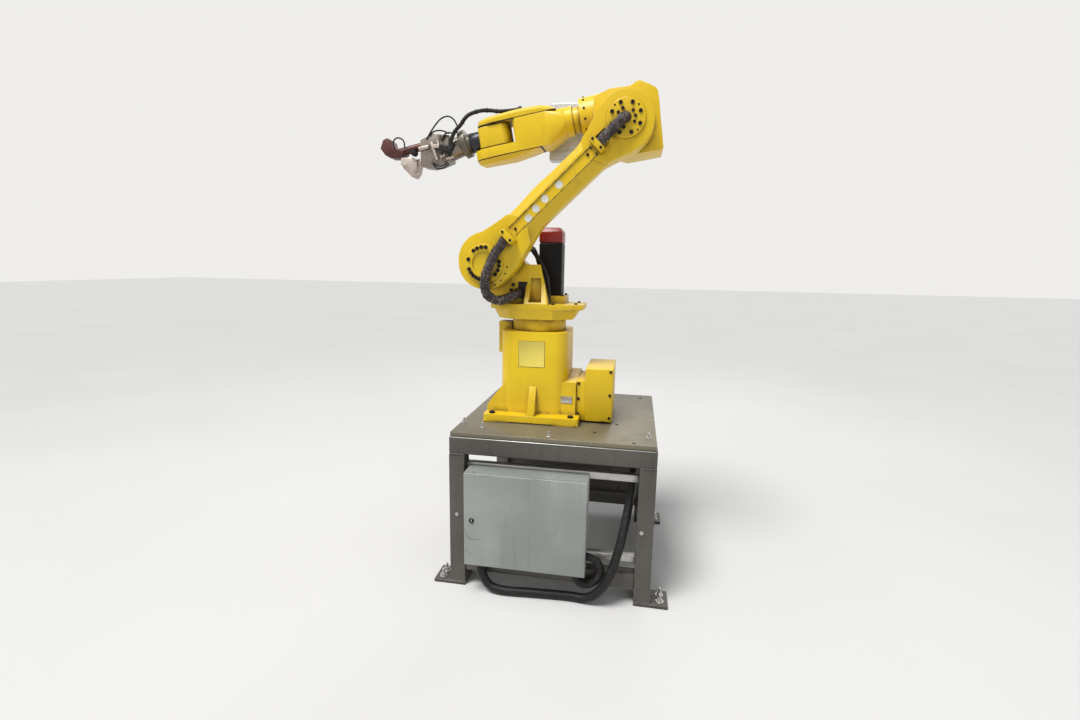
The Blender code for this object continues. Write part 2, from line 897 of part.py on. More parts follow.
def build_forearm(yellow, sleeve) -> None:
    """Build the rolled forearm fork, its covers, the wrist and the tool hose."""
    wide = 0.0615
    mouth = 0.0455
    floor = -0.0828
    ring = []
    for i in range(32):
        angle = 2 * math.pi * i / 32
        ring.append(fore3(NECK - 0.028, 0.0585 * math.cos(angle), 0.0585 * math.sin(angle)))
    block = [
        fore3(back, up, side * half)
        for back, half in ((0.084, wide - 0.011), (0.096, wide), (NECK - 0.105, wide))
        for up in (floor, mouth)
        for side in (-1, 1)
    ]
    body = hull(block + ring)
    neck = frustum(fore3(NECK - 0.038, 0, 0), fore3(NECK, 0, 0), 0.0580, 0.0580, 40)
    slim = wide - 0.0005
    prong = ((-0.092, 0.032), (-0.066, 0.054), (-0.020, slim), (0.130, slim))
    lower = hull(
        [
            fore3(back, up, side * half)
            for back, half in prong
            for up in (floor + 0.0002, -mouth)
            for side in (-1, 1)
        ]
    )
    merge(body, [neck, lower])
    seat = hull(
        [
            fore3(back, up, side)
            for back in (-0.12, NECK - 0.0615)
            for up in (mouth + 0.0003, 0.130)
            for side in (-0.09, 0.09)
        ]
    )
    merge(body, [seat], "DIFFERENCE")
    node("forearm_casting", yellow, body, joined=[spine(mouth, 0.0)])
    crown = (
        (-0.067, 0.0667, 0.034),
        (-0.054, 0.0730, 0.048),
        (-0.010, 0.0766, 0.0612),
        (0.080, 0.0813, 0.0612),
        (NECK - 0.2100, 0.0817, 0.0612),
        (NECK - 0.1710, 0.0806, 0.0612),
        (NECK - 0.1220, 0.0772, 0.0612),
        (NECK - 0.0900, 0.0683, 0.0600),
        (NECK - 0.0618, 0.0540, 0.0560),
    )
    points = []
    for back, up, half in crown:
        for side in (-1, 1):
            points.append(fore3(back, mouth + 0.0006, side * half))
            points.append(fore3(back, max(up - 0.014, mouth + 0.002), side * half))
            points.append(fore3(back, up - 0.003, side * (half - 0.009)))
            points.append(fore3(back, up, side * (half - 0.018)))
    node("forearm_upper_cover", yellow, hull(points), cuts=[spine(mouth - 0.02, GAP)])
    keel = (
        (-0.090, -0.0960, 0.031, floor),
        (-0.074, -0.1040, 0.045, floor),
        (0.060, -0.1040, 0.0600, floor),
        (NECK - 0.198, -0.0950, 0.0600, floor),
        (NECK - 0.138, -0.0845, 0.0580, floor),
    )
    points = []
    for back, up, half, seam in keel:
        for side in (-1, 1):
            points.append(fore3(back, seam - GAP, side * half))
            points.append(fore3(back, up, side * (half - 0.012)))
    node("forearm_lower_cover", yellow, hull(points))
    inner = mouth - 0.0052
    rim = [(-0.066, 0.046), (-0.052, 0.0555)]
    rim += arc(0.067, 0.067, 56, 0, 8)
    knuckle = hull(
        [
            fore3(back, up, side * sign)
            for back, side in rim
            for up in (-inner, inner)
            for sign in (-1, 1)
        ]
    )
    pin = mouth - 2 * GAP
    axle = frustum(fore3(0, -mouth + GAP, 0), fore3(0, pin - GAP, 0), 0.028, 0.028, 32)
    node("wrist_housing", yellow, knuckle, joined=[axle])
    route = (
        (0.0194, -0.030, 0.0970),
        (-0.0232, -0.030, 0.1017),
        (-0.0617, -0.045, 0.0974),
        (-0.1060, -0.045, 0.0855),
        (-0.1231, -0.055, 0.0679),
        (-0.1406, -0.055, 0.0449),
        (-0.1612, -0.055, 0.0243),
        (-0.1758, -0.055, 0.0038),
        (-0.1849, -0.055, -0.0225),
        (-0.1883, -0.055, -0.0487),
    )
    line = [fore3(0.125, 0.0900, -0.010), fore3(0.090, 0.0900, -0.012)]
    for right, y, up in route:
        x, z = by_wrist(right, up)
        line.append((x, y, z))
    hose("tool_hose", sleeve, line, 0.008, 4)


def spine(bottom: float, grown: float) -> bpy.types.Object:
    """Make the upper prong that the forearm's upper cover sits on.

    Args:
        bottom: height of its underside.
        grown: how much bigger it is on every side, for the cover's hollow.
    """
    stations = (
        (-0.060 - grown, 0.027, 0.060),
        (-0.045, 0.044, 0.060),
        (-0.012, 0.052, 0.060),
        (NECK - 0.113, 0.052, 0.060),
        (NECK - 0.078 + grown, 0.050, 0.050),
    )
    return hull(
        [
            fore3(back, up, side * (half + grown))
            for back, half, top in stations
            for up in (bottom, top + grown)
            for side in (-1, 1)
        ]
    )


def build_tool(dark, bare) -> None:
    """Build the flange, the tilted adapter and the twin gripper."""
    node(
        "tool_flange",
        dark,
        frustum(fore3(-0.0663, 0, 0), fore3(-0.1120, 0, 0), 0.0405, 0.0405, 32),
    )
    wedge = frustum(fore3(-0.1123, 0, 0), fore3(-0.1400, 0, 0), 0.0405, 0.0405, 32)
    slant = math.radians(22.0)
    tilt = Vector((-math.cos(slant), 0.0, -math.sin(slant)))
    x, z = by_wrist(-0.125, -0.0175)
    face = Vector((x, 0.0, z))
    plate = frustum(face, face + tilt * 0.027, 0.058, 0.058, 32)
    node("gripper_adapter", dark, plate, joined=[wedge])
    start = face + tilt * (0.027 + GAP)
    hub = frustum(start, start + tilt * 0.080, 0.042, 0.042, 32)
    left = -0.325
    side = (
        (-0.199, -0.095),
        (-0.199, 0.0067),
        (-0.2675, 0.0141),
        (-0.299, 0.0005),
        (left, -0.011),
        (left, -0.1165),
        (-0.2836, -0.1206),
        (-0.2475, -0.113),
    )
    block = prism([by_wrist(right, up) for right, up in side], -0.045, 0.045)
    node("gripper_hub", bare, block, joined=[hub])
    tools = (
        (
            "upper_tool_arm",
            ((-0.305, -0.022), (-0.460, -0.056), 0.017, 0.030),
            (
                (-0.5150, -0.0384),
                (-0.5014, -0.0037),
                (-0.4826, 0.0041),
                (-0.4646, -0.0085),
                (-0.4563, -0.0373),
                (-0.4336, -0.0460),
                (-0.4061, -0.0465),
                (-0.4089, -0.0628),
                (-0.4393, -0.0788),
                (-0.4716, -0.0783),
                (-0.4943, -0.0656),
            ),
        ),
        (
            "lower_tool_arm",
            ((-0.305, -0.0945), (-0.375, -0.1010), 0.019, 0.035),
            (
                (-0.4185, -0.0800),
                (-0.3681, -0.0768),
                (-0.3460, -0.1017),
                (-0.3515, -0.1387),
                (-0.3704, -0.1611),
                (-0.3882, -0.1423),
                (-0.4061, -0.1256),
                (-0.4216, -0.1047),
            ),
        ),
    )
    for name, (near, far, radius, deep), form in tools:
        x0, z0 = by_wrist(*near)
        x1, z1 = by_wrist(*far)
        bar = frustum((x0, 0.0, z0), (x1, 0.0, z1), radius, radius, 20)
        stop, level = by_wrist(left - GAP, 0.0)
        merge(bar, [box(stop, stop + 0.2, -0.1, 0.1, level - 0.3, level + 0.3)], "DIFFERENCE")
        head = prism([by_wrist(right, up) for right, up in form], -deep, deep)
        node(name, bare, head, joined=[bar])


JOINTS = (
    (
        "j1_axis",
        (0.0, 0.0, B.ring_top + GAP),
        ("turret_casting", "j1_motor", "j1_motor_cap", "j2_motor", "j2_motor_cap"),
    ),
    (
        "j2_axis",
        (A.j2[0], A.inner, A.j2[1]),
        (
            "lower_arm_casting",
            "j2_cover_disc",
            "j3_cover_disc",
            "lower_hose_clamp",
            "upper_hose_clamp",
            "j2_sleeved_hose",
            "j3_sleeved_hose",
        ),
    ),
    (
        "j3_axis",
        (J3[0], A.inner, J3[1]),
        (
            "elbow_casting",
            "elbow_top_cover",
            "j4_neck_ring",
            "j3_motor",
            "elbow_side_box",
            "elbow_box_bracket",
        ),
    ),
    (
        "j4_axis",
        fore3(NECK, 0, 0),
        ("forearm_casting", "forearm_upper_cover", "forearm_lower_cover", "tool_hose"),
    ),
    ("j5_axis", fore3(0, 0, 0), ("wrist_housing",)),
    (
        "j6_axis",
        fore3(-0.0663, 0, 0),
        ("tool_flange", "gripper_adapter", "gripper_hub", "upper_tool_arm", "lower_tool_arm"),
    ),
)
FIXED_ARM = ("robot_base_casting", "connector_box", "j1_bearing_ring")
DOOR_HINGE = (E.x1 + 0.004, E.front - GAP - E.door, (E.z0 + E.z1) / 2)
TOOL_TIP = J5[0] - 0.515
J1_PLACE = (
    -(TOOL_TIP + S.x1 + S.foot_out) / 2,
    -(E.front - GAP - E.door + S.y1 + S.foot_front) / 2,
    0.0,
)


def empty(name: str, place, parent=None) -> bpy.types.Object:
    """Put an empty at a place given in the J1 frame, under its parent."""
    obj = bpy.data.objects.new(name, None)
    obj.empty_display_size = 0.1
    bpy.context.scene.collection.objects.link(obj)
    if parent is not None:
        obj.parent = parent
        base = Vector(parent["place"])
    else:
        base = Vector((0.0, 0.0, 0.0))
    obj["place"] = list(place)
    obj.location = Vector(place) - base
    return obj


def carry(parent, obj) -> None:
    """Hang a node on an empty, keeping its mesh in the J1 frame."""
    obj.parent = parent
    obj.location = -Vector(parent["place"])


def assemble() -> None:
    """Hang every node on its joint's empty, and the part on its own origin."""
    root = bpy.data.objects.new("part_origin", None)
    bpy.context.scene.collection.objects.link(root)
    root["place"] = [0.0, 0.0, 0.0]
    root.location = J1_PLACE
    seat = empty("arm_seat", (0.0, 0.0, 0.0), root)
    seat.location.z = S.top - DRAWN_TOP
    left = {obj for obj in bpy.data.objects if obj.type in {"MESH", "CURVE"}}
    for name in FIXED_ARM:
        obj = bpy.data.objects[name]
        carry(seat, obj)
        left.remove(obj)
    parent = seat
    for name, place, names in JOINTS:
        parent = empty(name, place, parent)
        for node_name in names:
            obj = bpy.data.objects[node_name]
            carry(parent, obj)
            left.remove(obj)
    hinge = empty("door_axis", DOOR_HINGE, root)
    door = bpy.data.objects["enclosure_door"]
    carry(hinge, door)
    left.remove(door)
    for obj in left:
        carry(root, obj)


def main() -> None:
    """Build the whole part."""
    wipe()
    yellow = material("yellow_paint", YELLOW, 0.0, 0.42)
    steel = material("stand_paint", STEEL, 0.2, 0.55)
    plate = material("plate_paint", PLATE, 0.2, 0.5)
    pale = material("enclosure_paint", PALE, 0.0, 0.45)
    black = material("motor_black", BLACK, 0.0, 0.5)
    red = material("motor_red", RED, 0.0, 0.4)
    zinc = material("zinc_steel", ZINC, 0.8, 0.4)
    dark = material("dark_metal", DARK_METAL, 0.7, 0.4)
    bare = material("bare_metal", BARE_METAL, 0.8, 0.45)
    sleeve = material("hose_sleeve", SLEEVE, 0.0, 0.7)
    build_stand(steel, plate, zinc)
    build_enclosure(pale, sleeve)
    build_base(yellow)
    build_turret(yellow, black, red)
    build_lower_arm(yellow, sleeve)
    build_elbow(yellow, black, zinc)
    build_forearm(yellow, sleeve)
    build_tool(dark, bare)
    assemble()


main()
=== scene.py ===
"""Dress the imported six-axis robot arm and its stand for a studio picture.

Every class below is one sub-assembly of the machine. It rounds and paints its
CAD pieces, adds the fine pieces that the solids leave out, and reports them.
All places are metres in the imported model's own frame.
"""
from __future__ import annotations

import json
import logging
import math
from contextlib import contextmanager
from dataclasses import dataclass, field
from enum import Enum
from typing import Callable, Iterator, Sequence

import bpy
from mathutils import Matrix, Vector

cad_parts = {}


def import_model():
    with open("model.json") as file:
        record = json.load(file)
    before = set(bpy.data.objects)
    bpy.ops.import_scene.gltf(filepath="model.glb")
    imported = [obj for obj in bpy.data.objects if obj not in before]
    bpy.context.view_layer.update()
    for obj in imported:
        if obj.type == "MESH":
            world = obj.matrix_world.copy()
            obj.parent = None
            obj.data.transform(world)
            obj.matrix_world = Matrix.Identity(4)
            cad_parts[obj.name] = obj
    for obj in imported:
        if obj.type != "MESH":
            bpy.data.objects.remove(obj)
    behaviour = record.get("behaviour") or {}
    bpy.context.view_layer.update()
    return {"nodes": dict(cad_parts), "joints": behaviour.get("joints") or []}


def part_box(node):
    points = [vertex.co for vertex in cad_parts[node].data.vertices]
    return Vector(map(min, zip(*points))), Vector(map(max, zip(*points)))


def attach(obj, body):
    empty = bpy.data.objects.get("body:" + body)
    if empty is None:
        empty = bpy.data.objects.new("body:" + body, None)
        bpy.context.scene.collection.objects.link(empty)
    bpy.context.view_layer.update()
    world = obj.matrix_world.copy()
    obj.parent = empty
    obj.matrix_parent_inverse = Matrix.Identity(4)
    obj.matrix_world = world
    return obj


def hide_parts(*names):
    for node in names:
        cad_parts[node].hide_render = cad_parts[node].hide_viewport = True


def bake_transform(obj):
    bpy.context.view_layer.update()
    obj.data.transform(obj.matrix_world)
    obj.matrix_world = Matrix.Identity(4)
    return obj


LOG = logging.getLogger("robot_scene")
SMOOTH_ANGLE = math.radians(35.0)
TUBE_SMOOTH_ANGLE = math.radians(40.0)
FLAT_ANGLE = math.radians(0.6)
MERGE_STEP = 0.00002
FRONT = Vector((0.0, -1.0, 0.0))
UP = Vector((0.0, 0.0, 1.0))
ORIGIN = Vector((0.0, 0.0, 0.0))
Colour = tuple[float, float, float]
Point = tuple[float, float, float]
FaceTest = Callable[[Vector, Vector], bool]


class Body(Enum):
    """The moving bodies of the machine, from the floor to the tool."""

    BASE = "base"
    DOOR = "door"
    TURRET = "turret"
    LOWER_ARM = "lower_arm"
    ELBOW = "elbow"
    FOREARM = "forearm"
    WRIST = "wrist"
    TOOL = "tool"


class Graph:
    """A material's node tree, wired one node at a time."""

    def __init__(self, name: str) -> None:
        """Start an empty material with one Principled shader.

        Args:
            name: name of the material.
        """
        self.material = bpy.data.materials.new(name)
        self.material.use_nodes = True
        self.tree = self.material.node_tree
        self.shader = self.tree.nodes["Principled BSDF"]
        self.coords = self.tree.nodes.new("ShaderNodeTexCoord").outputs["Object"]

    def add(self, kind: str, **settings: object) -> bpy.types.Node:
        """Add a node and set its properties.

        Args:
            kind: Blender's name for the node type.
            settings: properties of the node.

        Returns:
            The new node.
        """
        node = self.tree.nodes.new(kind)
        for key, value in settings.items():
            setattr(node, key, value)
        return node

    def join(self, source: bpy.types.NodeSocket, target: bpy.types.NodeSocket) -> None:
        """Run a link from one socket to another."""
        self.tree.links.new(source, target)

    def stretched(self, scale: Point) -> bpy.types.NodeSocket:
        """Return the object's coordinates scaled along each axis."""
        mapping = self.add("ShaderNodeMapping")
        mapping.inputs["Scale"].default_value = scale
        self.join(self.coords, mapping.inputs["Vector"])
        return mapping.outputs["Vector"]

    def noise(
        self,
        scale: float,
        detail: float = 3.0,
        where: bpy.types.NodeSocket | None = None,
        warp: float = 0.0,
    ) -> bpy.types.NodeSocket:
        """Return a cloud pattern.

        Args:
            scale: number of clouds in a metre.
            detail: octaves of finer clouds.
            where: coordinates, the object's own where left out.
            warp: how far the pattern folds into itself.

        Returns:
            The pattern's value socket.
        """
        node = self.add("ShaderNodeTexNoise")
        node.inputs["Scale"].default_value = scale
        node.inputs["Detail"].default_value = detail
        node.inputs["Distortion"].default_value = warp
        self.join(where or self.coords, node.inputs["Vector"])
        return node.outputs["Fac"]

    def band(self, value: bpy.types.NodeSocket, low: float, high: float) -> bpy.types.NodeSocket:
        """Spread a value between two limits over 0 to 1.

        Args:
            value: socket with the value.
            low: value that gives 0.
            high: value that gives 1.

        Returns:
            The new value's socket.
        """
        node = self.add("ShaderNodeMapRange", interpolation_type="SMOOTHSTEP")
        node.inputs["From Min"].default_value = low
        node.inputs["From Max"].default_value = high
        self.join(value, node.inputs["Value"])
        return node.outputs["Result"]

    def maths(
        self,
        operation: str,
        first: bpy.types.NodeSocket | float,
        second: bpy.types.NodeSocket | float,
    ) -> bpy.types.NodeSocket:
        """Combine two sockets, or a socket and a number.

        Args:
            operation: Blender's name for the operation.
            first: first value or number.
            second: second value or number.

        Returns:
            The result's socket.
        """
        node = self.add("ShaderNodeMath", operation=operation)
        for value, socket in zip((first, second), node.inputs):
            self.feed(value, socket)
        return node.outputs[0]

    def feed(
        self, value: bpy.types.NodeSocket | Colour | float, socket: bpy.types.NodeSocket
    ) -> None:
        """Give a socket a link or a plain value."""
        if isinstance(value, tuple):
            socket.default_value = (*value, 1.0)
        elif isinstance(value, float):
            socket.default_value = value
        else:
            self.join(value, socket)

    def tint(
        self,
        share: bpy.types.NodeSocket,
        first: bpy.types.NodeSocket | Colour,
        second: bpy.types.NodeSocket | Colour,
    ) -> bpy.types.NodeSocket:
        """Mix two colours by a share.

        Args:
            share: 0 gives the first colour and 1 the second.
            first: colour or colour socket.
            second: colour or colour socket.

        Returns:
            The mixed colour's socket.
        """
        node = self.add("ShaderNodeMix", data_type="RGBA")
        self.join(share, node.inputs["Factor"])
        for value, socket in ((first, node.inputs[6]), (second, node.inputs[7])):
            self.feed(value, socket)
        return node.outputs[2]

    def crevices(self, reach: float) -> bpy.types.NodeSocket:
        """Return 1 deep in corners and 0 on open faces, an occlusion mask used for painted shade.

        Args:
            reach: how far a wall shades its neighbour.

        Returns:
            The mask's socket.
        """
        node = self.add("ShaderNodeAmbientOcclusion", samples=6)
        node.inputs["Distance"].default_value = reach
        return self.maths("SUBTRACT", 1.0, node.outputs["AO"])

    def sharp_edges(self, radius: float) -> bpy.types.NodeSocket:
        """Return 1 along sharp outer and inner edges.

        Args:
            radius: width of the edge.

        Returns:
            The mask's socket.
        """
        bevel = self.add("ShaderNodeBevel", samples=4)
        bevel.inputs["Radius"].default_value = radius
        flat = self.add("ShaderNodeNewGeometry")
        dot = self.add("ShaderNodeVectorMath", operation="DOT_PRODUCT")
        self.join(bevel.outputs["Normal"], dot.inputs[0])
        self.join(flat.outputs["Normal"], dot.inputs[1])
        return self.band(dot.outputs["Value"], 0.985, 0.90)

    def relief(self, height: bpy.types.NodeSocket, depth: float, strength: float = 1.0) -> None:
        """Drive the shader's normal by a height pattern."""
        bump = self.add("ShaderNodeBump")
        bump.inputs["Distance"].default_value = depth
        bump.inputs["Strength"].default_value = strength
        self.join(height, bump.inputs["Height"])
        self.join(bump.outputs["Normal"], self.shader.inputs["Normal"])


@dataclass(frozen=True)
class Enamel:
    """A sprayed coat with tone drift, grime and painted shade in corners, and worn edges."""

    name: str
    colour: Colour
    shade: Colour
    grime_and_shade_colour: Colour
    bare: Colour
    rough: float = 0.38
    metallic: float = 0.0
    grime_and_shade_share: float = 0.7
    wear_share: float = 0.35
    specks: float = 0.3
    streaks: float = 0.25
    scratches: float = 0.5
    gloss: float = 0.5

    drift_scale: float = 3.1
    run_scale: Point = (34.0, 34.0, 2.6)
    patch_scale: float = 19.0
    speck_scale: float = 120.0
    scratch_scale: float = 5.5
    chip_scale: float = 55.0
    haze_scale: float = 24.0
    peel_scale: float = 150.0
    corner_reach: float = 0.035
    edge_width: float = 0.0035

    def make(self) -> bpy.types.Material:
        """Wire the coat's material and return it."""
        graph = Graph(self.name)
        # Grime and painted shade: corners darken towards the grime colour by an occlusion mask.
        dirt_and_shade = self.dirt_and_shade(graph)
        tone = graph.tint(dirt_and_shade, self.tone(graph), self.grime_and_shade_colour)
        chip = graph.band(graph.noise(self.chip_scale, 5.0), 0.50, 0.58)
        worn = graph.maths("MULTIPLY", graph.sharp_edges(self.edge_width), chip)
        worn = graph.maths("MULTIPLY", worn, self.wear_share)
        tone = graph.tint(worn, tone, self.bare)
        graph.join(tone, graph.shader.inputs["Base Color"])
        haze = graph.maths("MULTIPLY", graph.noise(self.haze_scale, 5.0), 0.20)
        rough = graph.maths("ADD", haze, self.rough - 0.10)
        rough = graph.maths("ADD", rough, graph.maths("MULTIPLY", dirt_and_shade, 0.35))
        graph.join(rough, graph.shader.inputs["Roughness"])
        graph.shader.inputs["Metallic"].default_value = self.metallic
        graph.shader.inputs["Specular IOR Level"].default_value = self.gloss
        graph.relief(graph.noise(self.peel_scale, 2.0), 0.00035, 0.35)
        return graph.material

    def tone(self, graph: Graph) -> bpy.types.NodeSocket:
        """Return the coat's colour with its drift and its faint runs."""
        drift = graph.band(graph.noise(self.drift_scale, 5.0, warp=0.4), 0.34, 0.66)
        runs = graph.noise(1.0, 4.0, graph.stretched(self.run_scale))
        streak = graph.maths("MULTIPLY", graph.band(runs, 0.56, 0.74), self.streaks)
        return graph.tint(streak, graph.tint(drift, self.colour, self.shade), self.grime_and_shade_colour)

    def dirt_and_shade(self, graph: Graph) -> bpy.types.NodeSocket:
        """Return the share of grime and painted shade in corners, with specks and scratches."""
        # Painted shade: an occlusion mask darkens corners and recesses, in patches like grime.
        corner_shade = graph.band(graph.crevices(self.corner_reach), 0.10, 0.62)
        patch = graph.band(graph.noise(self.patch_scale, 6.0, warp=0.6), 0.36, 0.62)
        dirt_and_shade = graph.maths("MULTIPLY", corner_shade, graph.maths("ADD", patch, 0.35))
        dirt_and_shade = graph.maths("MULTIPLY", dirt_and_shade, self.grime_and_shade_share)
        dots = graph.band(graph.noise(self.speck_scale, 2.0), 0.70, 0.76)
        fields = graph.band(graph.noise(5.3, 3.0), 0.50, 0.66)
        specks = graph.maths("MULTIPLY", graph.maths("MULTIPLY", dots, fields), self.specks)
        dirt_and_shade = graph.maths("MAXIMUM", dirt_and_shade, specks)
        ridge = graph.maths("SUBTRACT", graph.noise(self.scratch_scale, 1.5, warp=0.3), 0.5)
        line = graph.band(graph.maths("ABSOLUTE", ridge, 0.0), 0.0045, 0.0015)
        places = graph.band(graph.noise(11.0, 3.0), 0.55, 0.62)
        scratch = graph.maths("MULTIPLY", graph.maths("MULTIPLY", line, places), self.scratches)
        return graph.maths("MAXIMUM", dirt_and_shade, scratch)


@dataclass(frozen=True)
class Metal:
    """Bare or plated metal with brushing, stains, a little soot and painted shade in its corners.
    """

    name: str
    colour: Colour
    stain_and_shade: Colour
    rough: float = 0.35
    metallic: float = 0.9
    stain_and_shade_share: float = 0.5
    grain: Point = (150.0, 150.0, 190.0)

    def make(self) -> bpy.types.Material:
        """Wire the metal's material and return it."""
        graph = Graph(self.name)
        brushed = graph.noise(1.0, 4.0, graph.stretched(self.grain))
        grain = graph.maths("MULTIPLY", graph.band(brushed, 0.35, 0.65), 0.35)
        tone = graph.tint(grain, self.colour, self.stain_and_shade)
        blot = graph.band(graph.noise(34.0, 5.0, warp=0.3), 0.50, 0.72)
        # Painted shade: an occlusion mask darkens corners towards the stain colour, with real stain
        # blots.
        corner_shade = graph.band(graph.crevices(0.02), 0.15, 0.7)
        soot_and_shade = graph.maths("MULTIPLY", graph.maths("MAXIMUM", blot, corner_shade), self.stain_and_shade_share)
        tone = graph.tint(soot_and_shade, tone, self.stain_and_shade)
        graph.join(tone, graph.shader.inputs["Base Color"])
        rough = graph.maths("ADD", graph.maths("MULTIPLY", brushed, 0.25), self.rough - 0.12)
        graph.join(rough, graph.shader.inputs["Roughness"])
        graph.shader.inputs["Metallic"].default_value = self.metallic
        graph.relief(brushed, 0.0002, 0.4)
        return graph.material


@dataclass(frozen=True)
class Sleeving:
    """A wrinkled black cover or hose jacket with dust and a painted highlight on its fold ridges.
    """

    name: str
    colour: Colour
    dust_and_highlight: Colour
    rough: float = 0.55
    folds: float = 46.0
    depth: float = 0.002
    gloss: float = 0.28

    def make(self) -> bpy.types.Material:
        """Wire the jacket's material and return it."""
        graph = Graph(self.name)
        crumple = graph.noise(self.folds, 4.0, warp=1.4)
        fine = graph.noise(self.folds * 6.0, 2.0)
        height = graph.maths("ADD", crumple, graph.maths("MULTIPLY", fine, 0.15))
        # Dust and painted highlight: a lighter colour on the raised ridges of the folds.
        ridge_dust_and_highlight = graph.band(crumple, 0.48, 0.70)
        patch = graph.band(graph.noise(8.0, 3.0), 0.35, 0.7)
        share = graph.maths("MULTIPLY", ridge_dust_and_highlight, graph.maths("ADD", patch, 0.25))
        tone = graph.tint(share, self.colour, self.dust_and_highlight)
        graph.join(tone, graph.shader.inputs["Base Color"])
        rough = graph.maths("ADD", graph.maths("MULTIPLY", share, 0.25), self.rough - 0.08)
        graph.join(rough, graph.shader.inputs["Roughness"])
        graph.shader.inputs["Specular IOR Level"].default_value = self.gloss
        graph.relief(height, self.depth, 0.8)
        return graph.material


class Finish(Enum):
    """Every finish on the machine."""

    # Each coat's third colour is grime and painted shade for corners.
    ROBOT_YELLOW = Enamel(
        "robot_yellow",
        (0.80, 0.552, 0.006),
        (0.71, 0.470, 0.005),
        (0.13, 0.075, 0.010),
        (0.80, 0.76, 0.60),
        grime_and_shade_share=0.75,
        wear_share=0.40,
        specks=0.80,
        streaks=0.12,
        scratches=0.12,
    )
    STAND_GREY = Enamel(
        "stand_grey",
        (0.105, 0.098, 0.085),
        (0.080, 0.074, 0.064),
        (0.030, 0.026, 0.020),
        (0.42, 0.40, 0.37),
        rough=0.42,
        metallic=0.25,
        wear_share=0.55,
        specks=0.5,
        streaks=0.35,
    )
    PLATE_GREY = Enamel(
        "plate_grey",
        (0.215, 0.190, 0.125),
        (0.165, 0.145, 0.100),
        (0.060, 0.050, 0.034),
        (0.50, 0.48, 0.42),
        rough=0.40,
        metallic=0.3,
        wear_share=0.5,
        specks=0.8,
        streaks=0.30,
    )
    CABINET_GREY = Enamel(
        "cabinet_grey",
        (0.330, 0.350, 0.330),
        (0.255, 0.272, 0.258),
        (0.070, 0.066, 0.055),
        (0.60, 0.62, 0.60),
        rough=0.40,
        wear_share=0.30,
        specks=0.9,
        streaks=0.18,
        grime_and_shade_share=0.6,
    )
    MOTOR_BLACK = Enamel(
        "motor_black",
        (0.005, 0.005, 0.006),
        (0.008, 0.007, 0.007),
        (0.040, 0.034, 0.026),
        (0.14, 0.13, 0.12),
        rough=0.48,
        wear_share=0.3,
        specks=0.3,
        streaks=0.12,
        gloss=0.16,
    )
    MOTOR_RED = Enamel(
        "motor_red",
        (0.230, 0.008, 0.006),
        (0.170, 0.006, 0.005),
        (0.035, 0.012, 0.010),
        (0.50, 0.20, 0.18),
        rough=0.36,
        wear_share=0.2,
        specks=0.25,
        streaks=0.1,
    )
    # Each metal's second colour is stain and painted shade for corners.
    ZINC = Metal(
        "zinc_steel",
        (0.56, 0.55, 0.53),
        (0.27, 0.26, 0.24),
        metallic=0.75,
        stain_and_shade_share=0.40,
        grain=(9.0, 160.0, 160.0),
    )
    DARK_STEEL = Metal(
        "dark_steel", (0.055, 0.055, 0.065), (0.018, 0.016, 0.016), rough=0.34
    )
    TOOL_METAL = Metal(
        "tool_metal", (0.30, 0.26, 0.225), (0.045, 0.032, 0.026), rough=0.40, stain_and_shade_share=0.9
    )
    PALE_METAL = Metal(
        "pale_metal", (0.58, 0.50, 0.44), (0.16, 0.10, 0.075), metallic=0.55, rough=0.42
    )
    PLATE_METAL = Metal(
        "plate_metal", (0.17, 0.15, 0.115), (0.045, 0.038, 0.028), metallic=0.7, rough=0.42
    )
    RED_METAL = Metal(
        "red_oxide_metal",
        (0.115, 0.036, 0.030),
        (0.022, 0.010, 0.010),
        metallic=0.4,
        rough=0.42,
        stain_and_shade_share=0.85,
    )
    BLACK_SCREW = Metal(
        "black_screw", (0.020, 0.018, 0.018), (0.008, 0.007, 0.007), metallic=0.6, rough=0.42
    )
    # Each sleeve's second colour is dust and a painted highlight on its fold ridges.
    LEATHER_SLEEVE = Sleeving(
        "leather_sleeve",
        (0.034, 0.027, 0.028),
        (0.200, 0.165, 0.150),
        rough=0.46,
        folds=62.0,
        depth=0.009,
    )
    BLACK_HOSE = Sleeving(
        "black_hose", (0.009, 0.008, 0.008), (0.038, 0.034, 0.030), folds=90.0, depth=0.0004
    )
    GASKET = Sleeving("dark_gasket", (0.022, 0.017, 0.010), (0.06, 0.045, 0.02), depth=0.0003)
    STICKER = Enamel(
        "white_sticker",
        (0.70, 0.70, 0.66),
        (0.62, 0.61, 0.56),
        (0.30, 0.27, 0.20),
        (0.80, 0.80, 0.76),
        rough=0.5,
        specks=0.6,
        streaks=0.2,
    )
    BARE_LABEL = Enamel(
        "bare_label",
        (0.80, 0.66, 0.12),
        (0.72, 0.57, 0.09),
        (0.30, 0.22, 0.05),
        (0.80, 0.78, 0.60),
        rough=0.45,
        specks=0.7,
    )


class Paints:
    """The finishes as materials, each made once."""

    def __init__(self) -> None:
        """Start with no material made."""
        self.made: dict[Finish, bpy.types.Material] = {}

    def get(self, finish: Finish) -> bpy.types.Material:
        """Return the material of a finish."""
        if finish not in self.made:
            self.made[finish] = finish.value.make()
        return self.made[finish]


def take(*pieces: bpy.types.Object) -> None:
    """Select only these pieces and make the first one active."""
    bpy.ops.object.select_all(action="DESELECT")
    for piece in pieces:
        piece.select_set(True)
    bpy.context.view_layer.objects.active = pieces[0]


@contextmanager
def edit(piece: bpy.types.Object, mode: str = "FACE") -> Iterator[None]:
    """Open a piece in edit mode for the length of a with block.

    Args:
        piece: the piece to edit.
        mode: VERT, EDGE or FACE.
    """
    take(piece)
    bpy.ops.object.mode_set(mode="EDIT")
    bpy.ops.mesh.select_mode(type=mode)
    yield
    bpy.ops.object.mode_set(mode="OBJECT")


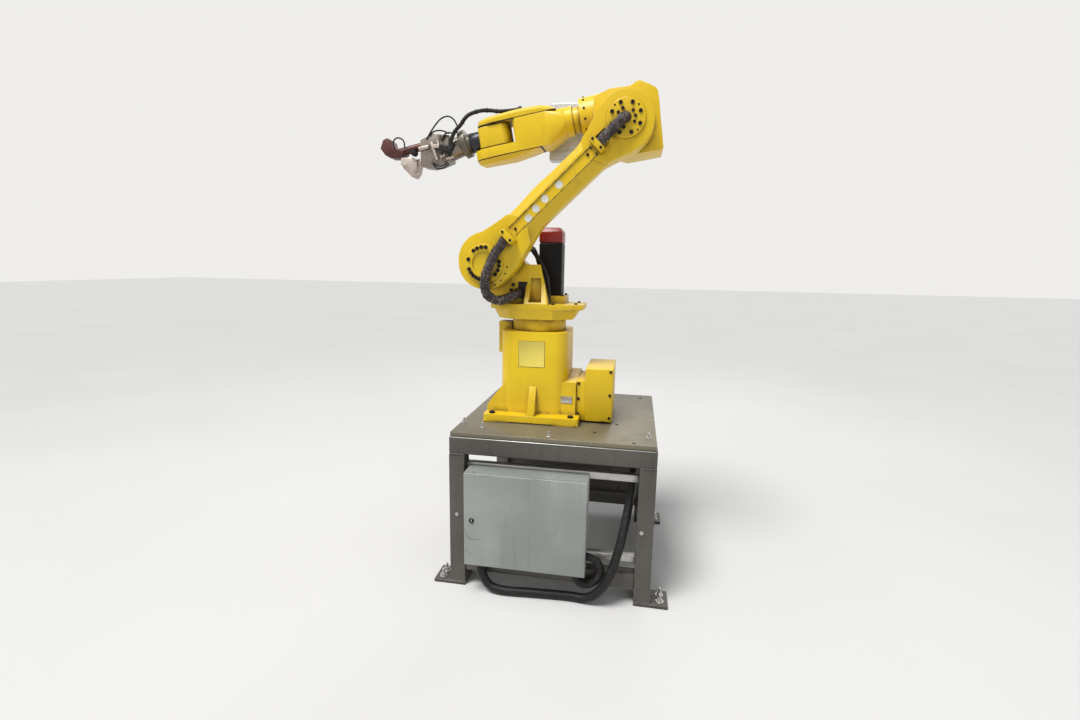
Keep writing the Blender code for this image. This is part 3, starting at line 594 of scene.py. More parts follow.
def pick_faces(piece: bpy.types.Object, test: FaceTest) -> None:
    """Select the faces of a piece that pass a test of centre and normal."""
    mesh = piece.data
    for vert in mesh.vertices:
        vert.select = False
    for edge in mesh.edges:
        edge.select = False
    for face in mesh.polygons:
        face.select = test(face.center, face.normal)


def settle(piece: bpy.types.Object) -> None:
    """Move a piece's place, turn and scale into its mesh."""
    take(piece)
    bpy.ops.object.transform_apply(location=True, rotation=True, scale=True)


def soften(piece: bpy.types.Object, width: float, segments: int = 2, angle: float = 28.0) -> None:
    """Round the sharp edges of a piece and smooth its shading.

    Args:
        piece: the piece.
        width: width of the rounding.
        segments: steps across the rounding.
        angle: edges sharper than this many degrees are rounded.
    """
    take(piece)
    rounding = piece.modifiers.new("rounding", "BEVEL")
    rounding.width = width
    rounding.segments = segments
    rounding.limit_method = "ANGLE"
    rounding.angle_limit = math.radians(angle)
    rounding.harden_normals = False
    bpy.ops.object.modifier_apply(modifier=rounding.name)
    bpy.ops.object.shade_smooth_by_angle(angle=SMOOTH_ANGLE)


def block(name: str, low: Sequence[float], high: Sequence[float]) -> bpy.types.Object:
    """Add an upright block between two corners, ready for shaping."""
    centre = [(a + b) / 2 for a, b in zip(low, high)]
    size = [b - a for a, b in zip(low, high)]
    bpy.ops.object.select_all(action="DESELECT")
    bpy.ops.mesh.primitive_cube_add(size=1.0, location=centre)
    piece = bpy.context.object
    piece.name = name
    piece.scale = size
    settle(piece)
    return piece


def rod(
    name: str,
    start: Vector,
    end: Vector,
    radius: float,
    tip_radius: float | None = None,
    sides: int = 24,
) -> bpy.types.Object:
    """Add a round bar or cone from one point to another, ready for shaping.

    Args:
        name: name of the piece.
        start: centre of the first end.
        end: centre of the second end.
        radius: radius at the first end.
        tip_radius: radius at the second end, the same where left out.
        sides: number of sides.

    Returns:
        The new piece.
    """
    axis = end - start
    turn = axis.to_track_quat("Z", "Y").to_euler()
    bpy.ops.object.select_all(action="DESELECT")
    bpy.ops.mesh.primitive_cone_add(
        vertices=sides,
        radius1=radius,
        radius2=radius if tip_radius is None else tip_radius,
        depth=axis.length,
        location=(start + end) / 2,
        rotation=turn,
    )
    piece = bpy.context.object
    piece.name = name
    settle(piece)
    return piece


def end_face(direction: Vector) -> FaceTest:
    """Return a test for faces that look along a direction."""
    aim = direction.normalized()

    def test(_: Vector, normal: Vector) -> bool:
        """Pass a face whose normal follows the direction."""
        return normal.dot(aim) > 0.99

    return test


def sunk(piece: bpy.types.Object, test: FaceTest, rim: float, depth: float) -> None:
    """Inset the faces that pass a test and push them in.

    Args:
        piece: the piece.
        test: test of the faces.
        rim: width that stays round them.
        depth: how deep they go, negative for a boss.
    """
    pick_faces(piece, test)
    with edit(piece):
        bpy.ops.mesh.inset(thickness=rim, depth=0.0)
        bpy.ops.mesh.inset(thickness=rim * 0.08, depth=-depth)


def fused(name: str, pieces: Sequence[bpy.types.Object]) -> bpy.types.Object:
    """Join pieces into one named piece."""
    take(*pieces)
    if len(pieces) > 1:
        bpy.ops.object.join()
    piece = bpy.context.object
    piece.name = name
    piece.data.name = name
    return piece


def copied(pattern: bpy.types.Object, matrix: Matrix) -> bpy.types.Object:
    """Copy a piece with its own mesh and carry that mesh to a new place."""
    take(pattern)
    bpy.ops.object.duplicate(linked=False)
    copy = bpy.context.object
    copy.data.transform(matrix)
    return copy


def removed(piece: bpy.types.Object) -> None:
    """Take a pattern piece out of the scene."""
    bpy.data.objects.remove(piece, do_unlink=True)


def straight(start: Vector, end: Vector, count: int) -> list[Vector]:
    """Return the points that share a straight line into equal parts."""
    return [start.lerp(end, i / count) for i in range(count + 1)]


def flowing(points: Sequence[Vector], steps: int = 6) -> list[Vector]:
    """Run a smooth line through a route's own points.

    Args:
        points: the route.
        steps: line points for each stretch of the route.

    Returns:
        The line's points.
    """
    route = [2 * points[0] - points[1], *points, 2 * points[-1] - points[-2]]
    line = []
    for i in range(1, len(route) - 2):
        a, b, c, d = route[i - 1], route[i], route[i + 1], route[i + 2]
        for k in range(steps):
            t = k / steps
            slope = (c - a) * t
            curve = (2 * a - 5 * b + 4 * c - d) * t * t
            twist = (3 * b - a - 3 * c + d) * t * t * t
            line.append(0.5 * (2 * b + slope + curve + twist))
    line.append(route[-2])
    return line


def tube(
    name: str,
    line: Sequence[Vector],
    radius: float,
    swell: Callable[[int], float] | None = None,
    mesh: bool = True,
) -> bpy.types.Object:
    """Make a round tube along a line.

    Args:
        name: name of the piece.
        line: points of the tube's centre.
        radius: its radius.
        swell: share of the radius at each point.
        mesh: whether the curve becomes a mesh.

    Returns:
        The tube.
    """
    curve = bpy.data.curves.new(name, "CURVE")
    curve.dimensions = "3D"
    curve.bevel_depth = radius
    curve.bevel_resolution = 4
    curve.use_fill_caps = True
    spline = curve.splines.new("POLY")
    spline.points.add(len(line) - 1)
    for index, (point, place) in enumerate(zip(spline.points, line)):
        point.co = (*place, 1.0)
        if swell is not None:
            point.radius = swell(index)
    piece = bpy.data.objects.new(name, curve)
    bpy.context.scene.collection.objects.link(piece)
    if mesh:
        take(piece)
        bpy.ops.object.convert(target="MESH")
        piece = bpy.context.object
        bpy.ops.object.shade_smooth_by_angle(angle=TUBE_SMOOTH_ANGLE)
    return piece


@dataclass
class Layout:
    """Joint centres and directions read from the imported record."""

    site: Vector
    j2: Vector
    j3: Vector
    j5: Vector
    fore: Vector
    rise: Vector

    @classmethod
    def read(cls, joints: Sequence[dict]) -> Layout:
        """Read the layout from the frame's joints."""
        by_name = {joint["name"]: joint for joint in joints}
        turret = by_name["j1_turret_turn"]["pos_m"]
        return cls(
            site=Vector((turret[0], turret[1], 0.0)),
            j2=Vector(by_name["j2_lower_arm_swing"]["pos_m"]),
            j3=Vector(by_name["j3_elbow_swing"]["pos_m"]),
            j5=Vector(by_name["j5_wrist_bend"]["pos_m"]),
            fore=Vector(by_name["j4_forearm_roll"]["axis"]).normalized(),
            rise=Vector(by_name["j5_wrist_bend"]["axis"]).normalized(),
        )

    def at(self, x: float, y: float, z: float) -> Vector:
        """Return a point measured from where the first axis meets the floor."""
        return self.site + Vector((x, y, z))

    def on_arm(self, along: float, across: float, y: float) -> Vector:
        """Return a point on the lower arm.

        Args:
            along: distance from the second axis towards the third.
            across: distance to the upper left of the arm's line.
            y: distance behind the first axis.

        Returns:
            The point.
        """
        return self.arm_matrix() @ Vector((along, y, across))

    def arm_matrix(self) -> Matrix:
        """Return the turn that lays a piece's X along the lower arm and its Z across it."""
        line = (self.j3 - self.j2).normalized()
        side = Vector((-line.z, 0.0, line.x))
        turn = Matrix((line, Vector((0.0, 1.0, 0.0)), side)).transposed().to_4x4()
        return Matrix.Translation((self.j2.x, self.site.y, self.j2.z)) @ turn

    def on_fore(self, back: float, up: float, side: float) -> Vector:
        """Return a point on the forearm.

        Args:
            back: distance behind the fifth axis.
            up: distance above the fourth axis.
            side: distance behind the first axis.

        Returns:
            The point.
        """
        point = self.j5 + self.fore * back + self.rise * up
        point.y = self.site.y + side
        return point


@dataclass
class SubAssembly:
    """What every sub-assembly shares: its layout, its paints and its pieces."""

    layout: Layout
    paints: Paints
    nodes: dict[str, bpy.types.Object]
    pieces: list[str] = field(default_factory=list)

    def paint(self, piece: bpy.types.Object, finish: Finish) -> None:
        """Give a piece its finish and list it."""
        piece.data.materials.clear()
        piece.data.materials.append(self.paints.get(finish))
        self.pieces.append(piece.name)

    def finish(self, piece: bpy.types.Object, finish: Finish, body: Body, slot: str) -> None:
        """Paint a new piece and let it ride on its body.

        Args:
            piece: the finished mesh or curve.
            finish: its finish.
            body: the body that carries it.
            slot: the record's material slot; not used.
        """
        self.paint(piece, finish)
        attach(piece, body.value)

    def spanned(
        self,
        piece: bpy.types.Object,
        finish: Finish,
        bodies: tuple[Body, Body],
        start: Vector,
        end: Vector,
    ) -> None:
        """Paint a curved piece and bake its place into its mesh.

        Args:
            piece: the finished mesh.
            finish: its finish.
            bodies: the bodies at its two ends; not used.
            start: where it leaves the first body; not used.
            end: where it reaches the second body; not used.
        """
        first, second = bodies
        self.paint(piece, finish)
        tuple(start)
        tuple(end)
        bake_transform(piece)

    def screwed(
        self,
        name: str,
        size: tuple[float, float],
        places: Sequence[Vector],
        aim: Vector,
        body: Body,
    ) -> None:
        """Drive black socket screws into their places, as one piece.

        Args:
            name: name of the piece.
            size: radius and height of a head.
            places: seat of each screw.
            aim: direction in which the heads look.
            body: the body that carries them.
        """
        screws = Screws(*size)
        piece = screws.laid(name, screws.model(name + "_model"), places, aim)
        self.finish(piece, Finish.BLACK_SCREW, body, "dark_metal")

    def rounded(
        self,
        node: str,
        finish: Finish,
        body: Body,
        slot: str,
        width: float,
        segments: int,
    ) -> None:
        """Stand a rounded and smoothed copy in for a CAD node.

        Args:
            node: name of the CAD node.
            finish: its finish.
            body: the body that carries it.
            slot: the record's material slot.
            width: width of the rounding.
            segments: steps across the rounding.
        """
        copy = self.merged(node, node + "_skin")
        soften(copy, width, segments)
        self.finish(copy, finish, body, slot)
        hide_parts(node)

    def merged(self, node: str, name: str) -> bpy.types.Object:
        """Copy a CAD node with its loose triangles merged into plain faces."""
        source = self.nodes[node]
        take(source)
        bpy.ops.object.duplicate(linked=False)
        copy = bpy.context.object
        copy.parent = None
        for key in list(copy.keys()):
            del copy[key]
        copy.name = name
        copy.data.name = name
        with edit(copy, "VERT"):
            bpy.ops.mesh.select_all(action="SELECT")
            bpy.ops.mesh.remove_doubles(threshold=MERGE_STEP)
            bpy.ops.mesh.dissolve_limited(angle_limit=FLAT_ANGLE)
        return copy

    def slab(
        self, node: str, name: str, low: Vector, high: Vector, grow: float
    ) -> bpy.types.Object:
        """Cut a thin slab out of a copy of a CAD node and swell it a little.

        Args:
            node: name of the CAD node.
            name: name of the slab.
            low: point on the first cutting plane.
            high: point on the second cutting plane.
            grow: scale of the slab about its own middle.

        Returns:
            The slab.
        """
        copy = self.merged(node, name)
        aim = (high - low).normalized()
        with edit(copy, "VERT"):
            for point, inner in ((low, True), (high, False)):
                bpy.ops.mesh.select_all(action="SELECT")
                bpy.ops.mesh.bisect(
                    plane_co=point,
                    plane_no=aim,
                    use_fill=True,
                    clear_inner=inner,
                    clear_outer=not inner,
                )
        verts = copy.data.vertices
        middle = sum((vert.co for vert in verts), Vector()) / len(verts)
        spread = Matrix.Translation(middle) @ Matrix.Scale(grow, 4) @ Matrix.Translation(-middle)
        copy.data.transform(spread)
        return copy


@dataclass
class Screws:
    """Socket screws in patterns, cut from one model screw."""

    head: float = 0.0065
    height: float = 0.006
    sides: int = 20
    washer: float = 0.002

    def model(self, name: str) -> bpy.types.Object:
        """Make one socket screw that stands on the origin along +Z."""
        screw = rod(name, ORIGIN, UP * self.height, self.head, sides=self.sides)
        sunk(screw, end_face(UP), self.head * 0.42, self.height * 0.6)
        soften(screw, self.head * 0.10, 2, 40.0)
        return screw

    def nut(self, name: str, stud: float = 0.010) -> bpy.types.Object:
        """Make a hexagon nut with a washer and a stud, standing on the origin."""
        seat = UP * self.washer
        washer = rod("washer", ORIGIN, seat, self.head * 1.45, sides=28)
        soften(washer, 0.0005, 1, 40.0)
        body = rod("nut", seat, UP * self.height, self.head, sides=6)
        sunk(body, end_face(UP), self.head * 0.30, self.height * 0.05)
        soften(body, self.head * 0.08, 2, 40.0)
        bar = rod("stud", seat, UP * (self.height + stud), self.head * 0.48, sides=16)
        soften(bar, 0.0008, 1, 40.0)
        return fused(name, [washer, body, bar])

    def laid(
        self, name: str, model: bpy.types.Object, places: Sequence[Vector], aim: Vector
    ) -> bpy.types.Object:
        """Copy a screw to each place, looking along an aim, as one piece.

        Args:
            name: name of the piece.
            model: the model screw, which is used up.
            places: seat of each screw.
            aim: direction in which the heads look.

        Returns:
            The joined screws.
        """
        turn = aim.to_track_quat("Z", "Y").to_matrix().to_4x4()
        copies = [copied(model, Matrix.Translation(place) @ turn) for place in places]
        removed(model)
        return fused(name, copies)


def on_circle(centre: Vector, radius: float, degrees: Sequence[float]) -> list[Vector]:
    """Return points round a circle in an upright plane, angles from +X towards +Z."""
    points = []
    for angle in degrees:
        turn = math.radians(angle)
        points.append(centre + Vector((radius * math.cos(turn), 0.0, radius * math.sin(turn))))
    return points


@dataclass
class Stand(SubAssembly):
    """The welded stand with its plate, feet, welds and levelling screws."""

    plate_top: float = 0.656
    tube: float = 0.0635
    foot: float = 0.0127
    anchor_side: float = 0.030
    anchor_end: float = 0.032
    weld_radius: float = 0.0035
    weld_step: float = 0.004

    def build(self) -> None:
        """Dress every piece of the stand."""
        self.frame()
        self.welds()
        self.plate_fittings()
        self.foot_fittings()

    def frame(self) -> None:
        """Round the tubes, rails, struts and the plate."""
        self.rounded("stand_top_plate", Finish.PLATE_GREY, Body.BASE, "plate_paint", 0.0018, 2)
        grey = Finish.STAND_GREY
        self.rounded("stand_apron_frame", grey, Body.BASE, "stand_paint", 0.006, 4)
        for node in sorted(self.nodes):
            if node.startswith(("stand_leg", "stand_lower_rail")):
                self.rounded(node, grey, Body.BASE, "stand_paint", 0.004, 3)
        self.rounded("stand_back_panel", grey, Body.BASE, "stand_paint", 0.0006, 1)
        for node in ("enclosure_strut_upper", "enclosure_strut_lower"):
            self.rounded(node, Finish.ZINC, Body.BASE, "zinc_steel", 0.0025, 2)

    def bead(self, name: str, start: Vector, end: Vector) -> bpy.types.Object:
        """Lay one rippled weld bead from one point to another."""
        count = max(4, int((end - start).length / self.weld_step))
        line = straight(start, end, count)
        return tube(name, line, self.weld_radius, lambda i: 1.0 if i % 2 else 0.80)

    def welds(self) -> None:
        """Weld the legs to the apron and to their foot plates, and paint a highlight strip on the
        apron's top edge.
        """
        beads = []
        low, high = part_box("stand_apron_frame")
        for node in self.legs():
            x = low.x if "left" in node else high.x - self.tube
            y = low.y if "front" in node else high.y
            for z, inset in ((low.z, 0.004), (self.foot, 0.003)):
                start = Vector((x + inset, y, z))
                beads.append(self.bead("weld", start, Vector((x + self.tube - inset, y, z))))
        piece = fused("stand_weld_beads", beads)
        self.finish(piece, Finish.STAND_GREY, Body.BASE, "stand_paint")
        # Painted highlight: a bright zinc strip along the apron's top front edge stands for light
        # on its rounded corner.
        inset = 0.006
        sunk_in = 0.0012
        start = Vector((low.x + inset, low.y + sunk_in, high.z - sunk_in))
        end = Vector((high.x - inset, start.y, start.z))
        edge = rod("apron_edge_painted_highlight", start, end, 0.0020, sides=10)
        soften(edge, 0.0005, 2, 60.0)
        self.finish(edge, Finish.ZINC, Body.BASE, "stand_paint")

    def plate_fittings(self) -> None:
        """Set the levelling studs and plug screws into the plate."""
        at = self.layout.at
        screws = Screws(head=0.0085, height=0.009)
        studs = ((-0.2744, -0.2330), (-0.1772, -0.2828), (0.1051, -0.3374), (0.4892, -0.2729))
        places = [at(x, y, self.plate_top) for x, y in studs]
        piece = screws.laid("plate_levelling_studs", screws.nut("stud_model", 0.012), places, UP)
        self.finish(piece, Finish.ZINC, Body.BASE, "zinc_steel")
        plugs = ((0.2778, -0.2509), (0.4321, -0.3500), (0.3600, -0.1200))
        plugs += ((-0.2500, 0.3600), (0.4600, 0.3700))
        places = [at(x, y, self.plate_top - 0.002) for x, y in plugs]
        self.screwed("plate_plug_screws", (0.0065, 0.0035), places, UP, Body.BASE)

    def foot_fittings(self) -> None:
        """Set the anchor nuts into the foot plates."""
        places = []
        for node in self.legs():
            low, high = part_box(node)
            outer = low.x + self.anchor_side if "left" in node else high.x - self.anchor_side
            places.append(Vector((outer, low.y + self.anchor_end, self.foot)))
            places.append(Vector((outer, high.y - self.anchor_end, self.foot)))
        screws = Screws(head=0.011, height=0.012)
        piece = screws.laid("foot_anchor_nuts", screws.nut("anchor_model", 0.020), places, UP)
        self.finish(piece, Finish.ZINC, Body.BASE, "zinc_steel")
        plug = Screws(head=0.008, height=0.004)
        seats = [self.layout.at(x, 0.0, z) for x, z in ((-0.2602, 0.3113), (0.4775, 0.3100))]
        for seat in seats:
            seat.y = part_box("stand_apron_frame")[0].y
        piece = plug.laid("leg_plug_screws", plug.model("leg_plug_model"), seats, FRONT)
        self.finish(piece, Finish.ZINC, Body.BASE, "zinc_steel")

    def legs(self) -> list[str]:
        """Return the names of the four legs."""
        return [node for node in sorted(self.nodes) if node.startswith("stand_leg")]


@dataclass
class Enclosure(SubAssembly):
    """The wall box in front of the stand with its door, latch and hoses."""

    seal_width: float = 0.010
    floor_hose: float = 0.0175
    side_hose: float = 0.0150

    def build(self) -> None:
        """Dress the box, the door and the hoses."""
        self.rounded("enclosure_body", Finish.CABINET_GREY, Body.BASE, "enclosure_paint", 0.0008, 2)
        self.rounded("enclosure_door", Finish.CABINET_GREY, Body.DOOR, "enclosure_paint", 0.0035, 3)
        self.latch()
        self.gasket()
        self.hoses()

    def latch(self) -> None:
        """Turn the quarter-turn latch into the door's left side."""
        seat = self.layout.at(-0.1793, 0.0, 0.3224)
        seat.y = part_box("enclosure_door")[0].y
        ring = rod("latch_ring", seat, seat + FRONT * 0.004, 0.0095, sides=32)
        sunk(ring, end_face(FRONT), 0.0025, 0.0015)
        soften(ring, 0.0008, 2, 35.0)
        self.finish(ring, Finish.BLACK_SCREW, Body.DOOR, "dark_metal")
        low = seat + Vector((-0.0015, -0.0036, -0.005))
        core = block("latch_slot", low, seat + Vector((0.0015, -0.002, 0.005)))
        soften(core, 0.0004, 1)
        self.finish(core, Finish.ZINC, Body.DOOR, "zinc_steel")

    def gasket(self) -> None:
        """Put the dark seal between the box and its door."""
        low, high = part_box("enclosure_body")
        inset = 0.0015
        first = (low.x + inset, low.y - 0.0002, low.z + inset)
        band = block("door_seal", first, (high.x - inset, low.y + 0.004, high.z - inset))
        for side in (FRONT, -FRONT):
            pick_faces(band, end_face(side))
            with edit(band):
                bpy.ops.mesh.inset(thickness=self.seal_width, depth=0.0)
                bpy.ops.mesh.delete(type="FACE")
        with edit(band):
            bpy.ops.mesh.select_all(action="DESELECT")
            bpy.ops.mesh.select_mode(type="EDGE")
            bpy.ops.mesh.select_non_manifold()
            bpy.ops.mesh.bridge_edge_loops()
            bpy.ops.mesh.select_all(action="SELECT")
            bpy.ops.mesh.normals_make_consistent(inside=False)
        self.finish(band, Finish.GASKET, Body.BASE, "hose_sleeve")

    def hoses(self) -> None:
        """Lay the two free hoses on their routes."""
        at = self.layout.at
        route = [
            at(-0.150, -0.396, 0.1312),
            at(-0.150, -0.396, 0.116),
            at(-0.148, -0.398, 0.080),
            at(-0.120, -0.402, 0.034),
            at(-0.060, -0.408, 0.0185),
            at(0.060, -0.400, 0.0185),
            at(0.200, -0.392, 0.0185),
            at(0.285, -0.402, 0.028),
            at(0.340, -0.416, 0.090),
            at(0.372, -0.408, 0.160),
            at(0.400, -0.376, 0.260),
            at(0.425, -0.310, 0.390),
            at(0.434, -0.280, 0.480),
            at(0.436, -0.275, 0.600),
            at(0.436, -0.275, 0.6362),
        ]
        line = flowing(route, 5)
        self.free_hose("floor_hose", "enclosure_floor_hose", line, self.floor_hose)
        loop = ((0.2708, 0.200), (0.2828, 0.199), (0.315, 0.185), (0.328, 0.145), (0.310, 0.105))
        loop += ((0.275, 0.082), (0.243, 0.090), (0.232, 0.112), (0.232, 0.1304))
        route = [at(x, -0.400, z) for x, z in loop]
        line = flowing(route, 4)
        self.free_hose("side_hose", "enclosure_side_hose", line, self.side_hose)

    def free_hose(self, name: str, node: str, line: Sequence[Vector], radius: float) -> None:
        """Args:
            name: name of the hose.
            node: the CAD node that it stands for.
            line: its centre line.
            radius: its radius.
        """
        hose = tube(name, line, radius, mesh=False)
        self.finish(hose, Finish.BLACK_HOSE, Body.BASE, "hose_sleeve")
        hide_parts(node)
        length = sum((b - a).length for a, b in zip(line, line[1:]))
        tuple(line[0])


@dataclass
class RobotBase(SubAssembly):
    """The fixed casting with its connector box and its bare plates."""

    def build(self) -> None:
        """Dress the base casting and its fittings."""
        for node, width, segments in (
            ("robot_base_casting", 0.005, 3),
            ("connector_box", 0.0025, 2),
            ("j1_bearing_ring", 0.002, 2),
        ):
            self.rounded(node, Finish.ROBOT_YELLOW, Body.BASE, "yellow_paint", width, segments)
        self.ring_seam()
        self.flange_screws()
        self.plates()
        self.box_screws()

    def ring_seam(self) -> None:
        """Show the dark joint between the casting and the bearing ring."""
        low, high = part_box("j1_bearing_ring")
        foot = self.layout.at(0.0, 0.0, low.z)
        radius = (high.x - low.x) / 2 + 0.0010
        ring = rod("bearing_ring_seam", foot, foot + UP * 0.0022, radius, sides=64)
        soften(ring, 0.0004, 2)
        self.finish(ring, Finish.GASKET, Body.BASE, "dark_metal")

    def flange_screws(self) -> None:
        """Bolt the flange's four corners down."""
        at = self.layout.at
        places = [at(sx * 0.168, sy * 0.176, 0.6883) for sx in (-1, 1) for sy in (-1, 1)]
        self.screwed("base_flange_screws", (0.0125, 0.008), places, UP, Body.BASE)

    def plates(self) -> None:
        """Rivet the two bare plates to the casting's front."""
        label = Finish.BARE_LABEL
        self.plate("base_label_plate", (-0.0605, 0.8890), (0.0485, 0.9970), -0.143, label)
        self.plate("base_rating_plate", (0.1130, 0.7370), (0.1680, 0.7650), -0.128, Finish.ZINC)

    def plate(
        self,
        name: str,
        low: tuple[float, float],
        high: tuple[float, float],
        y: float,
        finish: Finish,
    ) -> None:
        """Lay one thin bare plate with a raised rim on an upright face.

        Args:
            name: name of the plate.
            low: its lower left corner as x and z.
            high: its upper right corner as x and z.
            y: the face it lies on.
            finish: its finish.
        """
        at = self.layout.at
        back = y + 0.001
        piece = block(name, at(low[0], y - 0.0014, low[1]), at(high[0], back, high[1]))
        sunk(piece, end_face(FRONT), 0.0022, 0.0004)
        soften(piece, 0.0003, 1)
        self.finish(piece, finish, Body.BASE, "yellow_paint")
        edge = 0.0016
        rim = block(
            name + "_edge",
            at(low[0] - edge, y - 0.0004, low[1] - edge),
            at(high[0] + edge, back, high[1] + edge),
        )
        soften(rim, 0.0002, 1)
        self.finish(rim, Finish.GASKET, Body.BASE, "dark_metal")

    def box_screws(self) -> None:
        """Screw the connector box to the casting and its cover to the box."""
        low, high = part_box("connector_box")
        places = [self.layout.at(0.1935, -0.118, z) for z in (0.691, 0.758, 0.824)]
        places += [Vector((high.x - 0.011, low.y, z)) for z in (0.682, 0.780, 0.880)]
        self.screwed("connector_box_screws", (0.0058, 0.0035), places, FRONT, Body.BASE)


@dataclass
class Turret(SubAssembly):
    """The turning turret with its two motors and the cables between them."""

    deck: float = 1.150
    flange: float = 1.182
    cheek: float = -0.0820
    cables: int = 7
    cable_gap: float = 0.0065
    cable_sway: float = 0.005
    cable_radius: float = 0.0062

    def build(self) -> None:
        """Dress the turret and its motors."""
        self.rounded("turret_casting", Finish.ROBOT_YELLOW, Body.TURRET, "yellow_paint", 0.004, 3)
        for node in ("j1_motor", "j2_motor"):
            self.rounded(node, Finish.MOTOR_BLACK, Body.TURRET, "motor_black", 0.0030, 3)
        for node in ("j1_motor_cap", "j2_motor_cap"):
            self.rounded(node, Finish.MOTOR_RED, Body.TURRET, "motor_red", 0.0035, 3)
        self.screws()
        self.motor_cables()

    def screws(self) -> None:
        """Screw the deck, the motor's flange and the cheek."""
        at = self.layout.at
        corners = ((0.165, -0.055), (0.165, 0.075), (0.075, -0.110), (-0.160, -0.110))
        deck = [at(x, y, self.deck) for x, y in corners]
        for sx in (-1, 1):
            deck += [at(0.042 + sx * 0.058, 0.052 + sy * 0.056, self.flange) for sy in (-1, 1)]
        self.screwed("turret_deck_screws", (0.0068, 0.006), deck, UP, Body.TURRET)
        spots = ((-0.1015, 1.2291), (-0.1107, 1.2058), (-0.125, 1.185))
        cheek = [at(x, self.cheek, z) for x, z in spots]
        self.screwed("turret_cheek_screws", (0.0068, 0.005), cheek, FRONT, Body.TURRET)

    def motor_cables(self) -> None:
        """Run the dark cables from the motors up behind the rib."""
        at = self.layout.at
        cables = []
        for index in range(self.cables):
            shift = self.cable_gap * index
            sway = self.cable_sway * math.sin(1.9 * index)
            radius = self.cable_radius + 0.0007 * (index % 3)
            route = [
                at(0.052 - shift * 0.6, -0.062 + shift * 0.5, self.deck),
                at(0.050 - shift * 0.5, -0.064 + shift * 0.6, 1.206),
                at(0.041 - shift * 0.7 + sway, -0.064 + shift * 0.8, 1.262),
                at(0.022 - shift * 0.8 - sway, -0.062 + shift, 1.308 + shift * 0.5),
                at(-0.006 - shift * 0.5 + sway, -0.058 + shift * 1.1, 1.348 + shift * 0.5),
                at(-0.040 + sway, -0.040 + shift * 1.2, 1.378 + shift * 0.3),
                at(-0.078, 0.000 + shift, 1.380),
                at(-0.112, 0.045 + shift * 0.6, 1.356),
                at(-0.132, 0.075 + shift * 0.5, 1.338),
            ]
            cables.append(tube("cable", flowing(route), radius))
        piece = fused("turret_motor_cables", cables)
        self.finish(piece, Finish.BLACK_HOSE, Body.TURRET, "hose_sleeve")
        low = at(-0.0800, -0.0832, 1.1720)
        outlet = block("cable_outlet", low, at(-0.0400, -0.0780, 1.2420))
        soften(outlet, 0.0005, 1)
        self.finish(outlet, Finish.BLACK_SCREW, Body.TURRET, "dark_metal")


